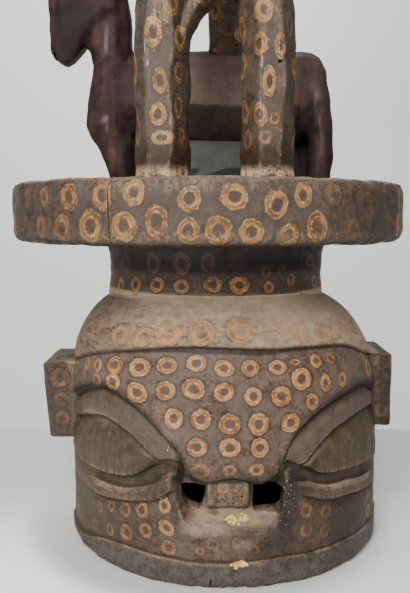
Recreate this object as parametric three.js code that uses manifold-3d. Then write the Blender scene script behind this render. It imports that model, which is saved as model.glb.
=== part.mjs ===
// An Epa helmet mask, carved from one block of wood: a pot with a face, which goes over the wearer's head,
// then a neck and a round platform, and on the platform a leopard standing over an antelope.
// Millimetres and degrees. The face looks along -Y, Z is up, and the pot's rim stands at Z = 0.
import * as THREE from "three";
import { mergeVertices } from "three/addons/utils/BufferGeometryUtils.js";
import Module from "manifold-3d";

// Pot: it leans a little, so its axis moves from potAxis at the rim to neckAxis under the platform.
const potAxis = 17;
const neckAxis = 8;
const leanStarts = 120;
const rimRadius = 154.5;
const rimWear = [4, 6]; // how far the rim's lower edge is rounded off, across and up
const rimBand = 24;
const potWall = 23;
const cavityWall = 150;
const cavityTop = 206;
const potColumns = 68;
const frontCrowding = 24; // how far the columns are drawn towards the face, in degrees

// Neck and platform.
const neckFoot = 233;
const neckTop = 287;
const platformTop = 340;
const platformRadius = 188.5;
const platformColumns = 56;

// Face: angles run from the pot's front, to the viewer's left below zero, and heights from the rim.
const faceEnds = [72, 84];
const backRelief = 0.6; // the plainer face behind, against the one in front
const capProud = 2;

// Nose: a pit cut into the wall, with a block left in it and a lookout hole on each side.
const pitHalf = 44;
const pitFoot = 62;
const pitTop = 96;
const pitRadius = 138;
const backPitRadius = 145;
const noseX = [-0.5, 37];
const noseFoot = 69;
const leftHole = { x: [-22.5, -1.5], z: [67, 86] };
const rightHole = { x: [37.5, 53.5], z: [64.5, 88] };

// Ear lugs: [outermost, foot, top, how far the foot is drawn in].
const leftLug = [-161.5, 92, 168, 5];
const rightLug = [181, 104, 176, 0.5];
const lugY = [-32, 42];

// Leopard: its hind legs stand on the platform and its forelegs on the antelope's back.
const hindLegX = [-36.5, 47.5];
const hindLegY = -136;
const foreLegX = [-36.5, 21];
const legHalf = 22;
const legTop = 478;

// Antelope: it lies across the platform, its head hanging at -X.
const antelopeY = 20;
const antelopeBack = 472;
const antelopeBelly = 385;

const alongX = new THREE.Vector3(1, 0, 0);
const alongY = new THREE.Vector3(0, 1, 0);
const { clamp, degToRad, lerp, smoothstep } = THREE.MathUtils;

const wasm = await Module();
wasm.setup();

// A smooth line through a few [place, value] pairs, level beyond its ends.
function through(...pairs) {
  const places = pairs.map((pair) => pair[0]);
  const values = pairs.map((pair) => pair[1]);
  const line = new THREE.CubicInterpolant(places, values, 1, [0]);
  return (place) => line.evaluate(clamp(place, places[0], places.at(-1)))[0];
}

// A closed geometry as a solid that can be joined and cut.
function solid(geometry) {
  geometry.deleteAttribute("normal");
  geometry.deleteAttribute("uv");
  const merged = mergeVertices(geometry, 1e-3);
  const vertProperties = new Float32Array(merged.getAttribute("position").array);
  const triVerts = new Uint32Array(merged.index.array);
  return new wasm.Manifold(new wasm.Mesh({ numProp: 3, vertProperties, triVerts }));
}

// A box between two opposite corners.
function block([x0, x1], [y0, y1], [z0, z1]) {
  const box = new THREE.BoxGeometry(x1 - x0, y1 - y0, z1 - z0);
  return solid(box.translate((x0 + x1) / 2, (y0 + y1) / 2, (z0 + z1) / 2));
}

// A prism of a [y, z] outline, from one X to another.
function slab([x0, x1], outline) {
  const shape = new THREE.Shape(outline.map(([y, z]) => new THREE.Vector2(y, z)));
  const prism = new THREE.ExtrudeGeometry(shape, { depth: x1 - x0, bevelEnabled: false });
  const turn = new THREE.Matrix4().makeBasis(alongY, new THREE.Vector3(0, 0, 1), alongX);
  return solid(prism.applyMatrix4(turn).translate(x0, 0, 0));
}

// A limb or a trunk through [x, y, z, half its width along across, half its other width].
function limb(stations, across, sides = 10) {
  const last = stations.length - 1;
  const spine = stations.map(([x, y, z]) => new THREE.Vector3(x, y, z));
  const tube = new THREE.CylinderGeometry(1, 1, 1, sides, last);
  const position = tube.getAttribute("position");
  for (let i = 0; i < position.count; i++) {
    const k = Math.round((0.5 - position.getY(i)) * last);
    const ahead = spine[Math.min(k + 1, last)].clone().sub(spine[Math.max(k - 1, 0)]).normalize();
    const up = ahead.clone().cross(across).normalize();
    const over = up.clone().cross(ahead);
    const point = spine[k].clone();
    point.addScaledVector(over, position.getX(i) * stations[k][3]);
    point.addScaledVector(up, position.getZ(i) * stations[k][4]);
    position.setXYZ(i, point.x, point.y, point.z);
  }
  return solid(tube);
}

// An egg shape: its centre and its three half widths.
function egg([x, y, z], [a, b, c]) {
  const ball = new THREE.SphereGeometry(1, 12, 8);
  return solid(ball.rotateX(Math.PI / 2).scale(a, b, c).translate(x, y, z));
}

// The pot's outside before carving: its radius at each height.
const potRadius = through(
  [0, 152], [60, 152.5], [106, 153], [150, 150.5], [182, 146.5],
  [197, 141], [209, 134], [222, 123], [233, 107.5], [241, 92],
);

function axisAt(height) {
  return lerp(potAxis, neckAxis, smoothstep(height, leanStarts, neckTop));
}

// The lines of the face, as heights over the angle.
const plateEdge = through(
  [-80, 135], [-58, 155], [-46, 161], [-31, 149], [-20, 126], [-15, 112], [-12, 97],
  [1, 95], [15, 97], [17.5, 109], [20, 123], [29, 143], [42, 154], [53, 158], [64, 155], [80, 141],
);
const lashLine = through(
  [-79, 115], [-59, 129], [-47, 134], [-35, 125.5], [-24, 106], [-17, 104], [-13, 91],
  [1, 89], [15, 91], [18.5, 105], [25, 102], [32, 117], [40, 128], [50, 133], [60, 134], [76, 130],
);
const eyeEdge = through(
  [-80, 97], [-65, 91], [-55, 87], [-40, 87], [-32, 92.5], [-25, 101], [-17, 99], [-13, 82],
  [1, 80], [15, 82], [19, 98], [25, 99.5], [30, 94], [36, 90], [59, 83], [80, 80],
);
const lidTop = through(
  [-80, 70], [-58, 71.5], [-34, 75], [-26, 82], [-18.5, 93], [-13, 72],
  [1, 70], [15, 72], [20.5, 92], [26, 82], [38, 77], [58, 70.5], [80, 68],
);
const lidFoot = through(
  [-80, 61], [-57, 62], [-33, 68], [-26, 72.5], [-18, 82], [-13, 66],
  [1, 64], [15, 66], [20, 82], [24, 76], [33, 70], [54, 60.5], [80, 58],
);
const capEdge = through(
  [-88, 168], [-71, 175], [-59, 184], [-37, 195], [-12, 202],
  [16, 200], [39, 198.5], [52, 194.5], [63, 185], [88, 170],
);

// One column of the carving, from the rim to the neck, as [height, how far it stands out].
// The face behind takes the same lines, turned round to the back.
function carving(angle) {
  const front = Math.abs(angle) <= 90;
  const line = front ? angle : Math.sign(angle) * (180 - Math.abs(angle));
  const away = Math.abs(line);
  const relief = (front ? 1 : backRelief) * (1 - smoothstep(away, ...faceEnds));
  const plate = plateEdge(line);
  const lash = lashLine(line);
  const eye = eyeEdge(line);
  const top = lidTop(line);
  const foot = lidFoot(line);
  const cap = capEdge(line);
  const swell = smoothstep(away, 24, 38);
  const lip = 1 - smoothstep(away, 13, 20);
  const face = [
    [44, 0],
    [49, 3 * lip],
    [foot - 9, 4.5 * lip],
    [foot - 2, -2.5],
    [foot + 1, 1],
    [top - 1.5, -1.5],
    [top + 1, -7],
    [eye - 2.5, -9],
    [eye, lerp(-8, 0.5, swell)],
    [lerp(eye, lash, 0.3), lerp(-8, -0.5, swell)],
    [lerp(eye, lash, 0.65), lerp(-8, -2.5, swell)],
    [lash - 1.5, -7],
    [lash + 1.5, -3],
    [(lash + plate) / 2, -2.5],
    [plate - 2, -6.5],
    [plate + 1.5, 0],
  ];
  return [
    [0, rimRadius - rimWear[0] - potRadius(0)],
    [rimWear[1], rimRadius - potRadius(0)],
    [rimBand, rimRadius - potRadius(0)],
    [rimBand + 1.5, 0],
    ...face.map(([height, out]) => [height, out * relief]),
    [lerp(plate, cap, 0.5), 0],
    [cap - 1, -capProud],
    [cap + 1, 0.5],
    [(cap + 222) / 2, 0],
    [222, 0],
    [neckFoot, 0],
    [neckFoot + 8, 0],
  ];
}

// The hollow for the head, from its top down to the rim, as [height, radius].
const cavity = [
  [cavityTop, 0],
  [cavityTop - 6, 62],
  [cavityTop - 24, 106],
  [cavityWall, 153 - potWall],
  [75, 153 - potWall],
  [0, 153 - potWall],
];

// The pot: a lathe's grid, with its columns crowded at the face and its rows laid along the face's lines.
function pot() {
  const rows = cavity.length + carving(0).length + 1;
  const blank = Array.from({ length: rows }, (_, row) => new THREE.Vector2(1 + row, row));
  const lathe = new THREE.LatheGeometry(blank, potColumns).rotateX(Math.PI / 2);
  const position = lathe.getAttribute("position");
  for (let i = 0; i < position.count; i++) {
    const turn = Math.floor(i / rows) / potColumns;
    const circle = (turn < 1 ? 360 * turn : 0) - frontCrowding * Math.sin(2 * Math.PI * turn);
    const angle = circle > 180 ? circle - 360 : circle;
    const outside = carving(angle).map(([height, out]) => [height, potRadius(height) + out]);
    const [height, radius] = [...cavity, ...outside, [neckFoot + 8, 0]][i % rows];
    const x = axisAt(height) + radius * Math.sin(degToRad(angle));
    position.setXYZ(i, x, -radius * Math.cos(degToRad(angle)), height);
  }
  return solid(lathe);
}

// A turned solid from [radius, height] pairs.
function turned(profile, columns, x) {
  const lathe = new THREE.LatheGeometry(profile.map((pair) => new THREE.Vector2(...pair)), columns);
  return solid(lathe.rotateX(Math.PI / 2).translate(x, 0, 0));
}

function neck() {
  const overlap = 9; // how far it runs into the pot
  return turned([
    [0, neckFoot - overlap], [106.5, neckFoot - overlap], [106.5, neckFoot + 3],
    [104.5, 254], [105.5, 274], [110, neckTop + 3], [0, neckTop + 3],
  ], 40, neckAxis);
}

function platform() {
  const r = platformRadius;
  const profile = [
    [0, neckTop], [r - 9, neckTop], [r - 2.5, neckTop + 2.5], [r, neckTop + 8],
    [r, platformTop - 8], [r - 2, platformTop - 2], [r - 7, platformTop], [0, platformTop],
  ];
  return turned(profile, platformColumns, 0);
}

// A side view of the nose, as [distance from the pot's axis, height], on the face (-1) or behind (1).
function noseSlab(way, width, outline) {
  return slab(width, outline.map(([far, height]) => [way * far, height]));
}

// The pit round the nose, with the top of the lip sloping out at its foot.
function nosePit(way, radius) {
  const width = [potAxis - pitHalf, potAxis + pitHalf];
  return noseSlab(way, width, [
    [185, pitFoot - 2],
    [157, pitFoot],
    [radius, pitFoot + 2],
    [radius, pitTop],
    [185, pitTop + 1],
  ]);
}

function noseBlock(way, radius) {
  return noseSlab(way, noseX, [
    [radius - 2, noseFoot],
    [radius + 9, noseFoot],
    [radius + 14, noseFoot + 13],
    [radius + 12, pitTop + 2],
    [radius - 2, pitTop + 2],
  ]);
}

function lookout({ x, z }) {
  return block(x, [-185, -115], z);
}

// An ear lug: a square block with its outer face drawn in towards its foot.
function lug([outer, foot, top, drawnIn]) {
  const side = Math.sign(outer);
  const root = potAxis + side * (153 - potWall / 2);
  const box = new THREE.BoxGeometry(Math.abs(outer - root), lugY[1] - lugY[0], top - foot);
  const position = box.getAttribute("position");
  for (let i = 0; i < position.count; i++) {
    const corner = position.getZ(i) < 0 && position.getX(i) * side > 0;
    position.setX(i, position.getX(i) - (corner ? side * drawnIn : 0));
  }
  return solid(box.translate((outer + root) / 2, (lugY[0] + lugY[1]) / 2, (foot + top) / 2));
}

// The leopard's trunk climbs from the rump, near the viewer, to the head over the far edge.
function leopard() {
  const hindLegs = hindLegX.map((x) => limb([
    [x, hindLegY, platformTop - 3, legHalf, 27],
    [x, hindLegY, platformTop + 10, legHalf - 1, 24],
    [x, hindLegY, 440, legHalf, 24],
    [x * 0.97, hindLegY + 2, legTop - 14, legHalf, 26],
    [x * 0.93, hindLegY + 14, legTop + 20, legHalf - 3, 24],
  ], alongX, 10));
  const haunches = hindLegX.map((x) => egg([x * 0.9, hindLegY + 22, legTop + 36], [26, 42, 47]));
  const foreLegs = foreLegX.map((x) => limb([
    [x, antelopeY + 2, antelopeBack - 10, 22, 21],
    [x, antelopeY + 3, antelopeBack + 8, 19.5, 19],
    [x, antelopeY + 8, 535, 21, 22],
    [x * 0.9, antelopeY + 18, 575, 22, 26],
  ], alongX, 10));
  const trunk = limb([
    [5, -158, 512, 30, 22],
    [5, -140, 520, 56, 43],
    [4, -96, 532, 58, 44],
    [2, -44, 545, 49, 37],
    [0, 8, 560, 49, 39],
    [-3, 48, 580, 53, 43],
    [-5, 84, 604, 45, 39],
    [-7, 108, 628, 36, 33],
    [-8, 122, 642, 28, 26],
  ], alongX, 14);
  const tail = limb([
    [5, -150, 520, 11, 11],
    [5, -170, 541, 10, 10],
    [5, -161, 566, 10, 10],
    [6, -128, 573, 10, 9],
    [8, -84, 579, 9, 9],
    [4, -44, 586, 9, 9],
    [-12, -22, 592, 8, 8],
  ], alongX, 8);
  const head = egg([-8, 130, 650], [40, 38, 35]);
  const muzzle = limb([
    [-8, 138, 646, 31, 25],
    [-8, 164, 642, 27, 21],
    [-8, 180, 640, 20, 15],
  ], alongX, 10);
  const mouth = block([-48, 32], [158, 190], [632, 637]);
  const ears = [-1, 1].map((s) => limb([
    [-8 + 26 * s, 120, 668, 15, 9],
    [-8 + 32 * s, 116, 690, 12, 7],
    [-8 + 34 * s, 113, 706, 5, 4],
  ], alongX, 8));
  const limbs = [...hindLegs, ...haunches, ...foreLegs, tail, head, muzzle, ...ears];
  return limbs.reduce((a, b) => a.add(b), trunk).subtract(mouth);
}

function antelope() {
  const y = antelopeY;
  const middle = (antelopeBack + antelopeBelly) / 2;
  const deep = (antelopeBack - antelopeBelly) / 2;
  const trunk = limb([
    [113, y, middle - 3, 12, 24],
    [107, y, middle + 1, 25, deep - 6],
    [88, y, middle + 1, 34, deep - 1],
    [40, y, middle, 34, deep],
    [-20, y, middle, 33, deep],
    [-72, y, middle + 4, 31, deep - 4],
    [-100, y, middle + 11, 27, 32],
    [-110, y, middle + 17, 14, 19],
  ], alongY, 12);
  const neckAndPoll = limb([
    [-88, y, 425, 24, 26],
    [-96, y, 475, 22, 23],
    [-103, y, 523, 20, 22],
    [-111, y, 560, 18, 21],
    [-124, y, 584, 16, 17],
  ], alongY, 10);
  const head = limb([
    [-124, y, 590, 15, 14],
    [-133, y, 562, 19, 22],
    [-134, y, 523, 19, 22],
    [-134, y, 488, 16, 19.5],
    [-136, y, 470, 12, 14.5],
    [-139, y, 460.5, 7, 6],
  ], alongY, 10);
  const horns = [-1, 1].map((s) => limb([
    [-126, y + 9 * s, 586, 7, 8],
    [-112, y + 13 * s, 622, 6, 7],
    [-90, y + 18 * s, 650, 5, 5.5],
    [-66, y + 21 * s, 664, 3, 3.5],
  ], alongY, 8));
  const legs = [-16, 16].flatMap((side) => [
    limb([
      [-92, y + side * 0.6, 446, 10, 14],
      [-97, y + side, 426, 14, 20],
      [-99, y + side, 408, 14, 20],
      [-93, y + side, 374, 13, 17],
      [-82, y + side, platformTop - 3, 13, 14],
    ], alongY, 8),
    limb([
      [92, y + side * 0.6, 452, 12, 20],
      [96, y + side, 430, 17, 27],
      [107, y + side, 390, 15, 19.5],
      [108, y + side, 362, 12, 17],
      [106, y + side, platformTop - 3, 12, 17],
    ], alongY, 8),
  ]);
  const support = block([-60, 62], [2, 38], [platformTop - 3, antelopeBelly + 8]);
  return [neckAndPoll, head, ...horns, ...legs, support].reduce((a, b) => a.add(b), trunk);
}

function mask() {
  const carved = pot()
    .subtract(nosePit(-1, pitRadius))
    .subtract(nosePit(1, backPitRadius))
    .add(noseBlock(-1, pitRadius))
    .add(noseBlock(1, backPitRadius - 5))
    .subtract(lookout(leftHole))
    .subtract(lookout(rightHole));
  const rest = [lug(leftLug), lug(rightLug), neck(), platform(), leopard(), antelope()];
  return rest.reduce((a, b) => a.add(b), carved);
}

// A solid as a mesh of flat facets, as an adze leaves them.
function meshOf(body, name, color, roughness) {
  const { vertProperties, triVerts } = body.getMesh();
  const geometry = new THREE.BufferGeometry();
  geometry.setAttribute("position", new THREE.BufferAttribute(vertProperties, 3));
  geometry.setIndex(new THREE.BufferAttribute(triVerts, 1));
  const wood = new THREE.MeshStandardMaterial({ color, roughness, metalness: 0, flatShading: true });
  const mesh = new THREE.Mesh(geometry, wood);
  mesh.name = name;
  return mesh;
}

const part = new THREE.Group();
part.add(meshOf(mask(), "epa_mask", 0x5f5348, 0.7));

export default part;
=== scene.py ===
# A carved Epa helmet mask: a pot with a face, a neck, a platform, and on it a leopard over an antelope.
# The fixed frame holds its sizes; this script gives it its fine carving, its painted rings and its finish.
import math
import random

import bpy
import numpy as np
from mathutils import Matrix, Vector, noise
from mathutils.bvhtree import BVHTree
from mathutils.kdtree import KDTree


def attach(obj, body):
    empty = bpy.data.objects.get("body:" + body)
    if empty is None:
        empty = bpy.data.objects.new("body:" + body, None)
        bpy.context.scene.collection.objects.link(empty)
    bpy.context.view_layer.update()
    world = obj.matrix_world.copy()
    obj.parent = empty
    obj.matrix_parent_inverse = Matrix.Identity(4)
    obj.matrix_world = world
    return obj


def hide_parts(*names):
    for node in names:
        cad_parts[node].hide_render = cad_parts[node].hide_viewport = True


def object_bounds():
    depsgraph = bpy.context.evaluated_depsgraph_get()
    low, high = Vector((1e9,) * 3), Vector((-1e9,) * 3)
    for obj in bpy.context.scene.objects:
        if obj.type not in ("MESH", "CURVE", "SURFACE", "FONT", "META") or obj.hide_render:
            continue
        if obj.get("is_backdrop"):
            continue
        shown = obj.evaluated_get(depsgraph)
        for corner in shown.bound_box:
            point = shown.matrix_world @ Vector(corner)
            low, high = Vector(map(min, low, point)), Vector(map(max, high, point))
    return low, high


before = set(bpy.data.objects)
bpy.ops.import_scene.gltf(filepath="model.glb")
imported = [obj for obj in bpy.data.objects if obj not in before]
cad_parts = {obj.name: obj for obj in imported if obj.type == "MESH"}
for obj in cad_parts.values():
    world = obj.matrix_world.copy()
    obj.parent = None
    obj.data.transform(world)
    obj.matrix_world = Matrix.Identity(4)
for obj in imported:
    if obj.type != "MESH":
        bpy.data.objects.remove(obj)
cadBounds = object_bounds()
mm = 0.001
nodeName = "epa_mask"
finishes = [bpy.data.materials.new(name) for name in ("paintedWood", "stainedWood", "dustyWood", "rawWood")]
painted, stained, dusty, raw = range(4)

cameraSettings = {
    "place": (-2.5, -704.7, 311.0),  # mm
    "pitchDown": 6.64,
    "focalPixels": 700.0,
    "photoPixels": (410, 593),
    "sensor": 36.0,
}


def addCamera(settings):
    data = bpy.data.cameras.new("camera")
    data.sensor_width = settings["sensor"]
    data.lens = settings["sensor"] * settings["focalPixels"] / max(settings["photoPixels"])
    data.clip_start = 0.01
    camera = bpy.data.objects.new("camera", data)
    bpy.context.scene.collection.objects.link(camera)
    camera.location = Vector(settings["place"]) * mm
    camera.rotation_euler = (math.radians(90 - settings["pitchDown"]), 0, 0)
    bpy.context.scene.camera = camera


addCamera(cameraSettings)
print("camera placed")


# helpers for lines and shapes

def through(pairs):  # a smooth line through a few (place, value) pairs, level beyond its ends
    places, values = np.array(pairs, float).T
    steps = np.diff(places)
    secants = np.diff(values) / steps
    slopes = np.concatenate([secants[:1], (secants[1:] + secants[:-1]) / 2, secants[-1:]])

    def line(place):
        p = np.clip(place, places[0], places[-1])
        i = np.clip(np.searchsorted(places, p, side="right") - 1, 0, len(steps) - 1)
        t = (p - places[i]) / steps[i]
        ends = values[i] * (1 + 2 * t) * (1 - t) ** 2 + values[i + 1] * t * t * (3 - 2 * t)
        return ends + steps[i] * (slopes[i] * t * (1 - t) ** 2 - slopes[i + 1] * t * t * (1 - t))

    return line


def smoothstep(value, low, high):
    t = np.clip((value - low) / (high - low), 0, 1)
    return t * t * (3 - 2 * t)


def fade(value, low, high):
    return 1 - smoothstep(value, low, high)


def lerp(a, b, t):
    return a + (b - a) * t


def easedRows(places, values, counts):  # rows between control rows, rounded at each turn and never past it
    steps = np.maximum(np.diff(places, axis=1), 1e-6)
    secants = np.diff(values, axis=1) / steps
    before, after = secants[:, :-1], secants[:, 1:]
    with np.errstate(divide="ignore", invalid="ignore"):
        inner = np.where(before * after > 0, 2 * before * after / (before + after), 0)
    slopes = np.concatenate([secants[:, :1], inner, secants[:, -1:]], axis=1)
    rowPlaces, rowValues = [places[:, :1]], [values[:, :1]]
    for k, count in enumerate(counts):
        t = np.arange(1, count + 1) / count
        a, b, h = values[:, k:k + 1], values[:, k + 1:k + 2], steps[:, k:k + 1]
        ends = a * (1 + 2 * t) * (1 - t) ** 2 + b * t * t * (3 - 2 * t)
        bend = h * (slopes[:, k:k + 1] * t * (1 - t) ** 2 - slopes[:, k + 1:k + 2] * t * t * (1 - t))
        rowPlaces.append(places[:, k:k + 1] + h * t)
        rowValues.append(ends + bend)
    return np.concatenate(rowPlaces, axis=1), np.concatenate(rowValues, axis=1)


def select(*pieces):
    bpy.ops.object.select_all(action="DESELECT")
    for piece in pieces:
        piece.select_set(True)
    bpy.context.view_layer.objects.active = pieces[0]


def coordinates(piece):
    values = np.empty(len(piece.data.vertices) * 3)
    piece.data.vertices.foreach_get("co", values)
    return values.reshape(-1, 3)


def setCoordinates(piece, points):
    piece.data.vertices.foreach_set("co", np.asarray(points, float).ravel())
    piece.data.update()


def wrapGrid(name, columns, rows, place):  # a grid wrapped round into a closed skin; place() gives mm
    bpy.ops.mesh.primitive_grid_add(x_subdivisions=columns, y_subdivisions=rows - 1, size=1)
    piece = bpy.context.object
    piece.name = name
    flat = coordinates(piece)
    column = np.rint((flat[:, 0] + 0.5) * columns).astype(int) % columns
    row = np.rint((flat[:, 1] + 0.5) * (rows - 1)).astype(int)
    setCoordinates(piece, place(column, row) * mm)
    select(piece)
    bpy.ops.object.mode_set(mode="EDIT")
    bpy.ops.mesh.select_all(action="SELECT")
    bpy.ops.mesh.remove_doubles(threshold=0.00002)
    bpy.ops.mesh.dissolve_degenerate(threshold=0.00001)
    bpy.ops.mesh.normals_make_consistent(inside=False)
    bpy.ops.object.mode_set(mode="OBJECT")
    return piece


def applyModifier(piece, kind, **settings):
    modifier = piece.modifiers.new(kind.title(), kind)
    for key, value in settings.items():
        setattr(modifier, key, value)
    select(piece)
    bpy.ops.object.modifier_apply(modifier=modifier.name)
    return piece


def dress(piece, finish):  # which finish a form takes; the joining keeps it
    piece.data.materials.clear()
    for material in finishes:
        piece.data.materials.append(material)
    piece.data.polygons.foreach_set("material_index", [finish] * len(piece.data.polygons))
    return piece


def boolean(piece, other, operation):  # joins or cuts with another piece, which is used up
    applyModifier(piece, "BOOLEAN", operation=operation, object=other, solver="MANIFOLD")
    bpy.data.objects.remove(other)
    return piece


def roughen(piece, kind, size, depth, group):  # uneven carving, by a texture of that size and depth in mm
    texture = bpy.data.textures.new(kind.lower(), kind)
    texture.noise_scale = size * mm
    applyModifier(piece, "DISPLACE", texture=texture, texture_coords="LOCAL", strength=depth * mm,
                  mid_level=0.5, vertex_group=group)


def beveledBox(name, low, high, bevel, segments=3):  # a box between two corners in mm, its edges rounded
    low, high = np.array(low, float), np.array(high, float)
    bpy.ops.mesh.primitive_cube_add(size=1)
    piece = bpy.context.object
    piece.name = name
    setCoordinates(piece, ((low + high) / 2 + coordinates(piece) * (high - low)) * mm)
    select(piece)
    bpy.ops.object.mode_set(mode="EDIT")
    bpy.ops.mesh.select_all(action="SELECT")
    bpy.ops.mesh.bevel(offset=bevel * mm, segments=segments, affect="EDGES")
    bpy.ops.object.mode_set(mode="OBJECT")
    return piece


# the pot, with its face

potSettings = {
    "rimAxis": 17.0,  # the pot leans a little: its axis moves in X from the rim to the neck
    "neckAxis": 8.0,
    "lean": (120.0, 287.0),
    "columns": 285,
    "crowding": 24.0,  # degrees that the columns are drawn towards the face
    "rimRadius": 154.5,
    "rimWear": (4.0, 6.0),
    "rimFacets": 31,
    "faceEnds": (72.0, 84.0),
    "backRelief": 0.6,
    "capProud": 2.0,
    "hollow": ((0, 150, 182, 200, 206), (135, 135, 111, 67, 25)),  # heights, and the radius within
    "cavity": [(206, 0), (200, 62), (182, 106), (150, 130), (75, 130), (0, 130)],
    "cavityRows": [4, 3, 4, 5, 5],
}

potRadius = through([
    (0, 152), (60, 152.5), (106, 153), (150, 150.5), (182, 146.5),
    (197, 141), (209, 134), (222, 123), (233, 107.5), (241, 92),
])

# heights of the face's lines over the angle from the front, to the viewer's left below zero
rimLine = through([
    (-150, 22), (-80, 10), (-65, 8.5), (-54, 16), (-47, 20.5), (-37, 23.2), (-23, 22), (-9, 20.6),
    (1, 21.2), (13, 23), (31, 22.5), (48, 22), (63, 20.5), (80, 20), (150, 22),
])
plateEdge = through([
    (-80, 135), (-58, 155), (-46, 161), (-31, 149), (-20, 126), (-15, 112), (-12, 97), (1, 95),
    (15, 97), (17.5, 109), (20, 123), (29, 143), (42, 154), (53, 158), (64, 155), (80, 141),
])
lashLine = through([
    (-79, 115), (-59, 129), (-47, 134), (-35, 125.5), (-24, 108), (-17, 106.5), (-13, 91), (1, 89),
    (15, 91), (18.5, 106), (25, 102), (32, 117), (40, 128), (50, 133), (60, 134), (76, 130),
])
eyeEdge = through([
    (-80, 88), (-65, 85), (-52, 85), (-40, 87), (-32, 91.5), (-24, 103), (-17, 99), (-13, 82), (1, 80),
    (15, 82), (19, 98), (25, 100.5), (32, 93), (38, 91), (57, 87), (80, 79),
])
lidTop = through([
    (-80, 74), (-58, 73), (-49, 71.5), (-36, 75), (-26, 83.5), (-18, 94), (-13, 72), (1, 70),
    (15, 72), (19, 86), (26, 86), (35, 78), (48, 74.5), (60, 69), (80, 66),
])
lidFoot = through([
    (-80, 66), (-58, 66), (-50, 62), (-33, 67.5), (-26, 72), (-21.5, 76.5), (-17.5, 83), (-13, 66), (1, 64),
    (15, 66), (19.5, 82), (26, 76), (35, 68), (46, 64.5), (58, 61), (80, 58),
])
capEdge = through([
    (-88, 168), (-71, 175), (-59, 184), (-37, 195), (-12, 202),
    (16, 200), (39, 198.5), (52, 194.5), (63, 185), (88, 170),
])


def axisAt(height):
    return lerp(potSettings["rimAxis"], potSettings["neckAxis"], smoothstep(height, *potSettings["lean"]))


def faceLineAngle(angle):  # the face behind takes the same lines, turned round to the back
    return np.where(np.abs(angle) <= 90, angle, np.sign(angle) * (180 - np.abs(angle)))


def faceRelief(angle):
    line = faceLineAngle(angle)
    strength = np.where(np.abs(angle) <= 90, 1.0, potSettings["backRelief"])
    return strength * fade(np.abs(line), *potSettings["faceEnds"])


def carvedRows(angle):  # control rows of the outside for each column: heights, and how far they stand out
    line = faceLineAngle(angle)
    away = np.abs(line)
    relief = faceRelief(angle)
    plate, lash, eye = plateEdge(line), lashLine(line), eyeEdge(line)
    top, foot, cap = lidTop(line), lidFoot(line), capEdge(line)
    swell = smoothstep(away, 22.5, 28)
    ball = lerp(-2.5, 0.5, smoothstep(away, 26, 40))
    lip = fade(away, 13, 20)
    level = np.zeros_like(angle)
    pit = fade(away, 15.5, 18)
    rise = fade(np.abs(angle), 30, 95)
    lid = fade(away, np.where(line < 0, 49, 60), np.where(line < 0, 60, 72))
    lid = lid * smoothstep(away, np.where(line < 0, 15, 18), np.where(line < 0, 19, 27))
    rim = potSettings["rimRadius"] - potRadius(0)
    wear = potSettings["rimWear"]
    face = [
        (level + 38, level, 4),
        (level + 44, 1.6 * lip, 3),
        (level + 49, 4 * lip, 2),
        (np.maximum(foot - 9, 52.5), 4.5 * lip, 6),
        (foot - 2, lerp(-2.5 * lid, -3.5, pit), 4),
        (foot + 1, lerp(1 * lid, -7.5, pit), 3),
        (top - 1.5, lerp(-0.5 - lid, -11.5, pit), 4),
        (top + 1, lerp(-1.5 - 5.5 * lid, -13.5, pit), 2),
        (eye - 2.5, lerp(-3.5 - 5.5 * lid, -15, pit), 6),
        (eye, lerp(lerp(-8, ball, swell), -15, pit), 3),
        (lerp(eye, lash, 0.3), lerp(lerp(-8, -0.5, swell), -15, pit), 6),
        (lerp(eye, lash, 0.65), lerp(lerp(-8, -2.5, swell), -15, pit), 6),
        (lash - 1.5, lerp(-7, -14, pit), 5),
        (lash + 1.5, lerp(-3, -11, pit), 3),
        ((lash + plate) / 2, lerp(-2.5, -8.5, pit), 5),
        (plate - 2, lerp(-6.5, -5.5, pit), 5),
        (plate + 1.5, level, 3),
    ]
    rows = [
        (level, level + rim - wear[0], 0),
        (level + wear[1], level + rim, 4),
        (rimLine(angle), level + rim, 7),
        (rimLine(angle) + 2.5, level, 2),
        *[(height, out * relief, count) for height, out, count in face],
        (lerp(plate, cap, 0.5), level, 10),
        (cap - 1, level - potSettings["capProud"], 10),
        (cap + 1, level + 0.5, 2),
        ((cap + 222) / 2, level, 7),
        (level + 222, 1.5 * rise, 6),
        (level + 233, 5 * rise, 4),
        (level + 242, 15.5 * rise, 4),
    ]
    heights = np.stack([row[0] for row in rows], axis=1)
    outs = np.stack([row[1] for row in rows], axis=1)
    return easedRows(heights, outs, [row[2] for row in rows[1:]])


def hewnRadius(turned, facets, rng):  # how far in each flat facet brings a round edge, as a share
    seams = np.cumsum([rng.uniform(0.7, 1.3) for _ in range(facets)])
    seams = 2 * np.pi * seams / seams[-1]
    middles, halves = (seams + np.roll(seams, 1)) / 2, np.diff(seams, prepend=seams[-1] - 2 * np.pi) / 2
    middles[0] = seams[0] - halves[0]
    off = (turned[:, None] - middles + np.pi) % (2 * np.pi) - np.pi
    inside = np.abs(off) <= halves + 1e-9
    k = inside.argmax(axis=1)
    chosen = off[np.arange(len(turned)), k]
    return np.cos(halves[k]) / np.cos(chosen)


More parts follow.
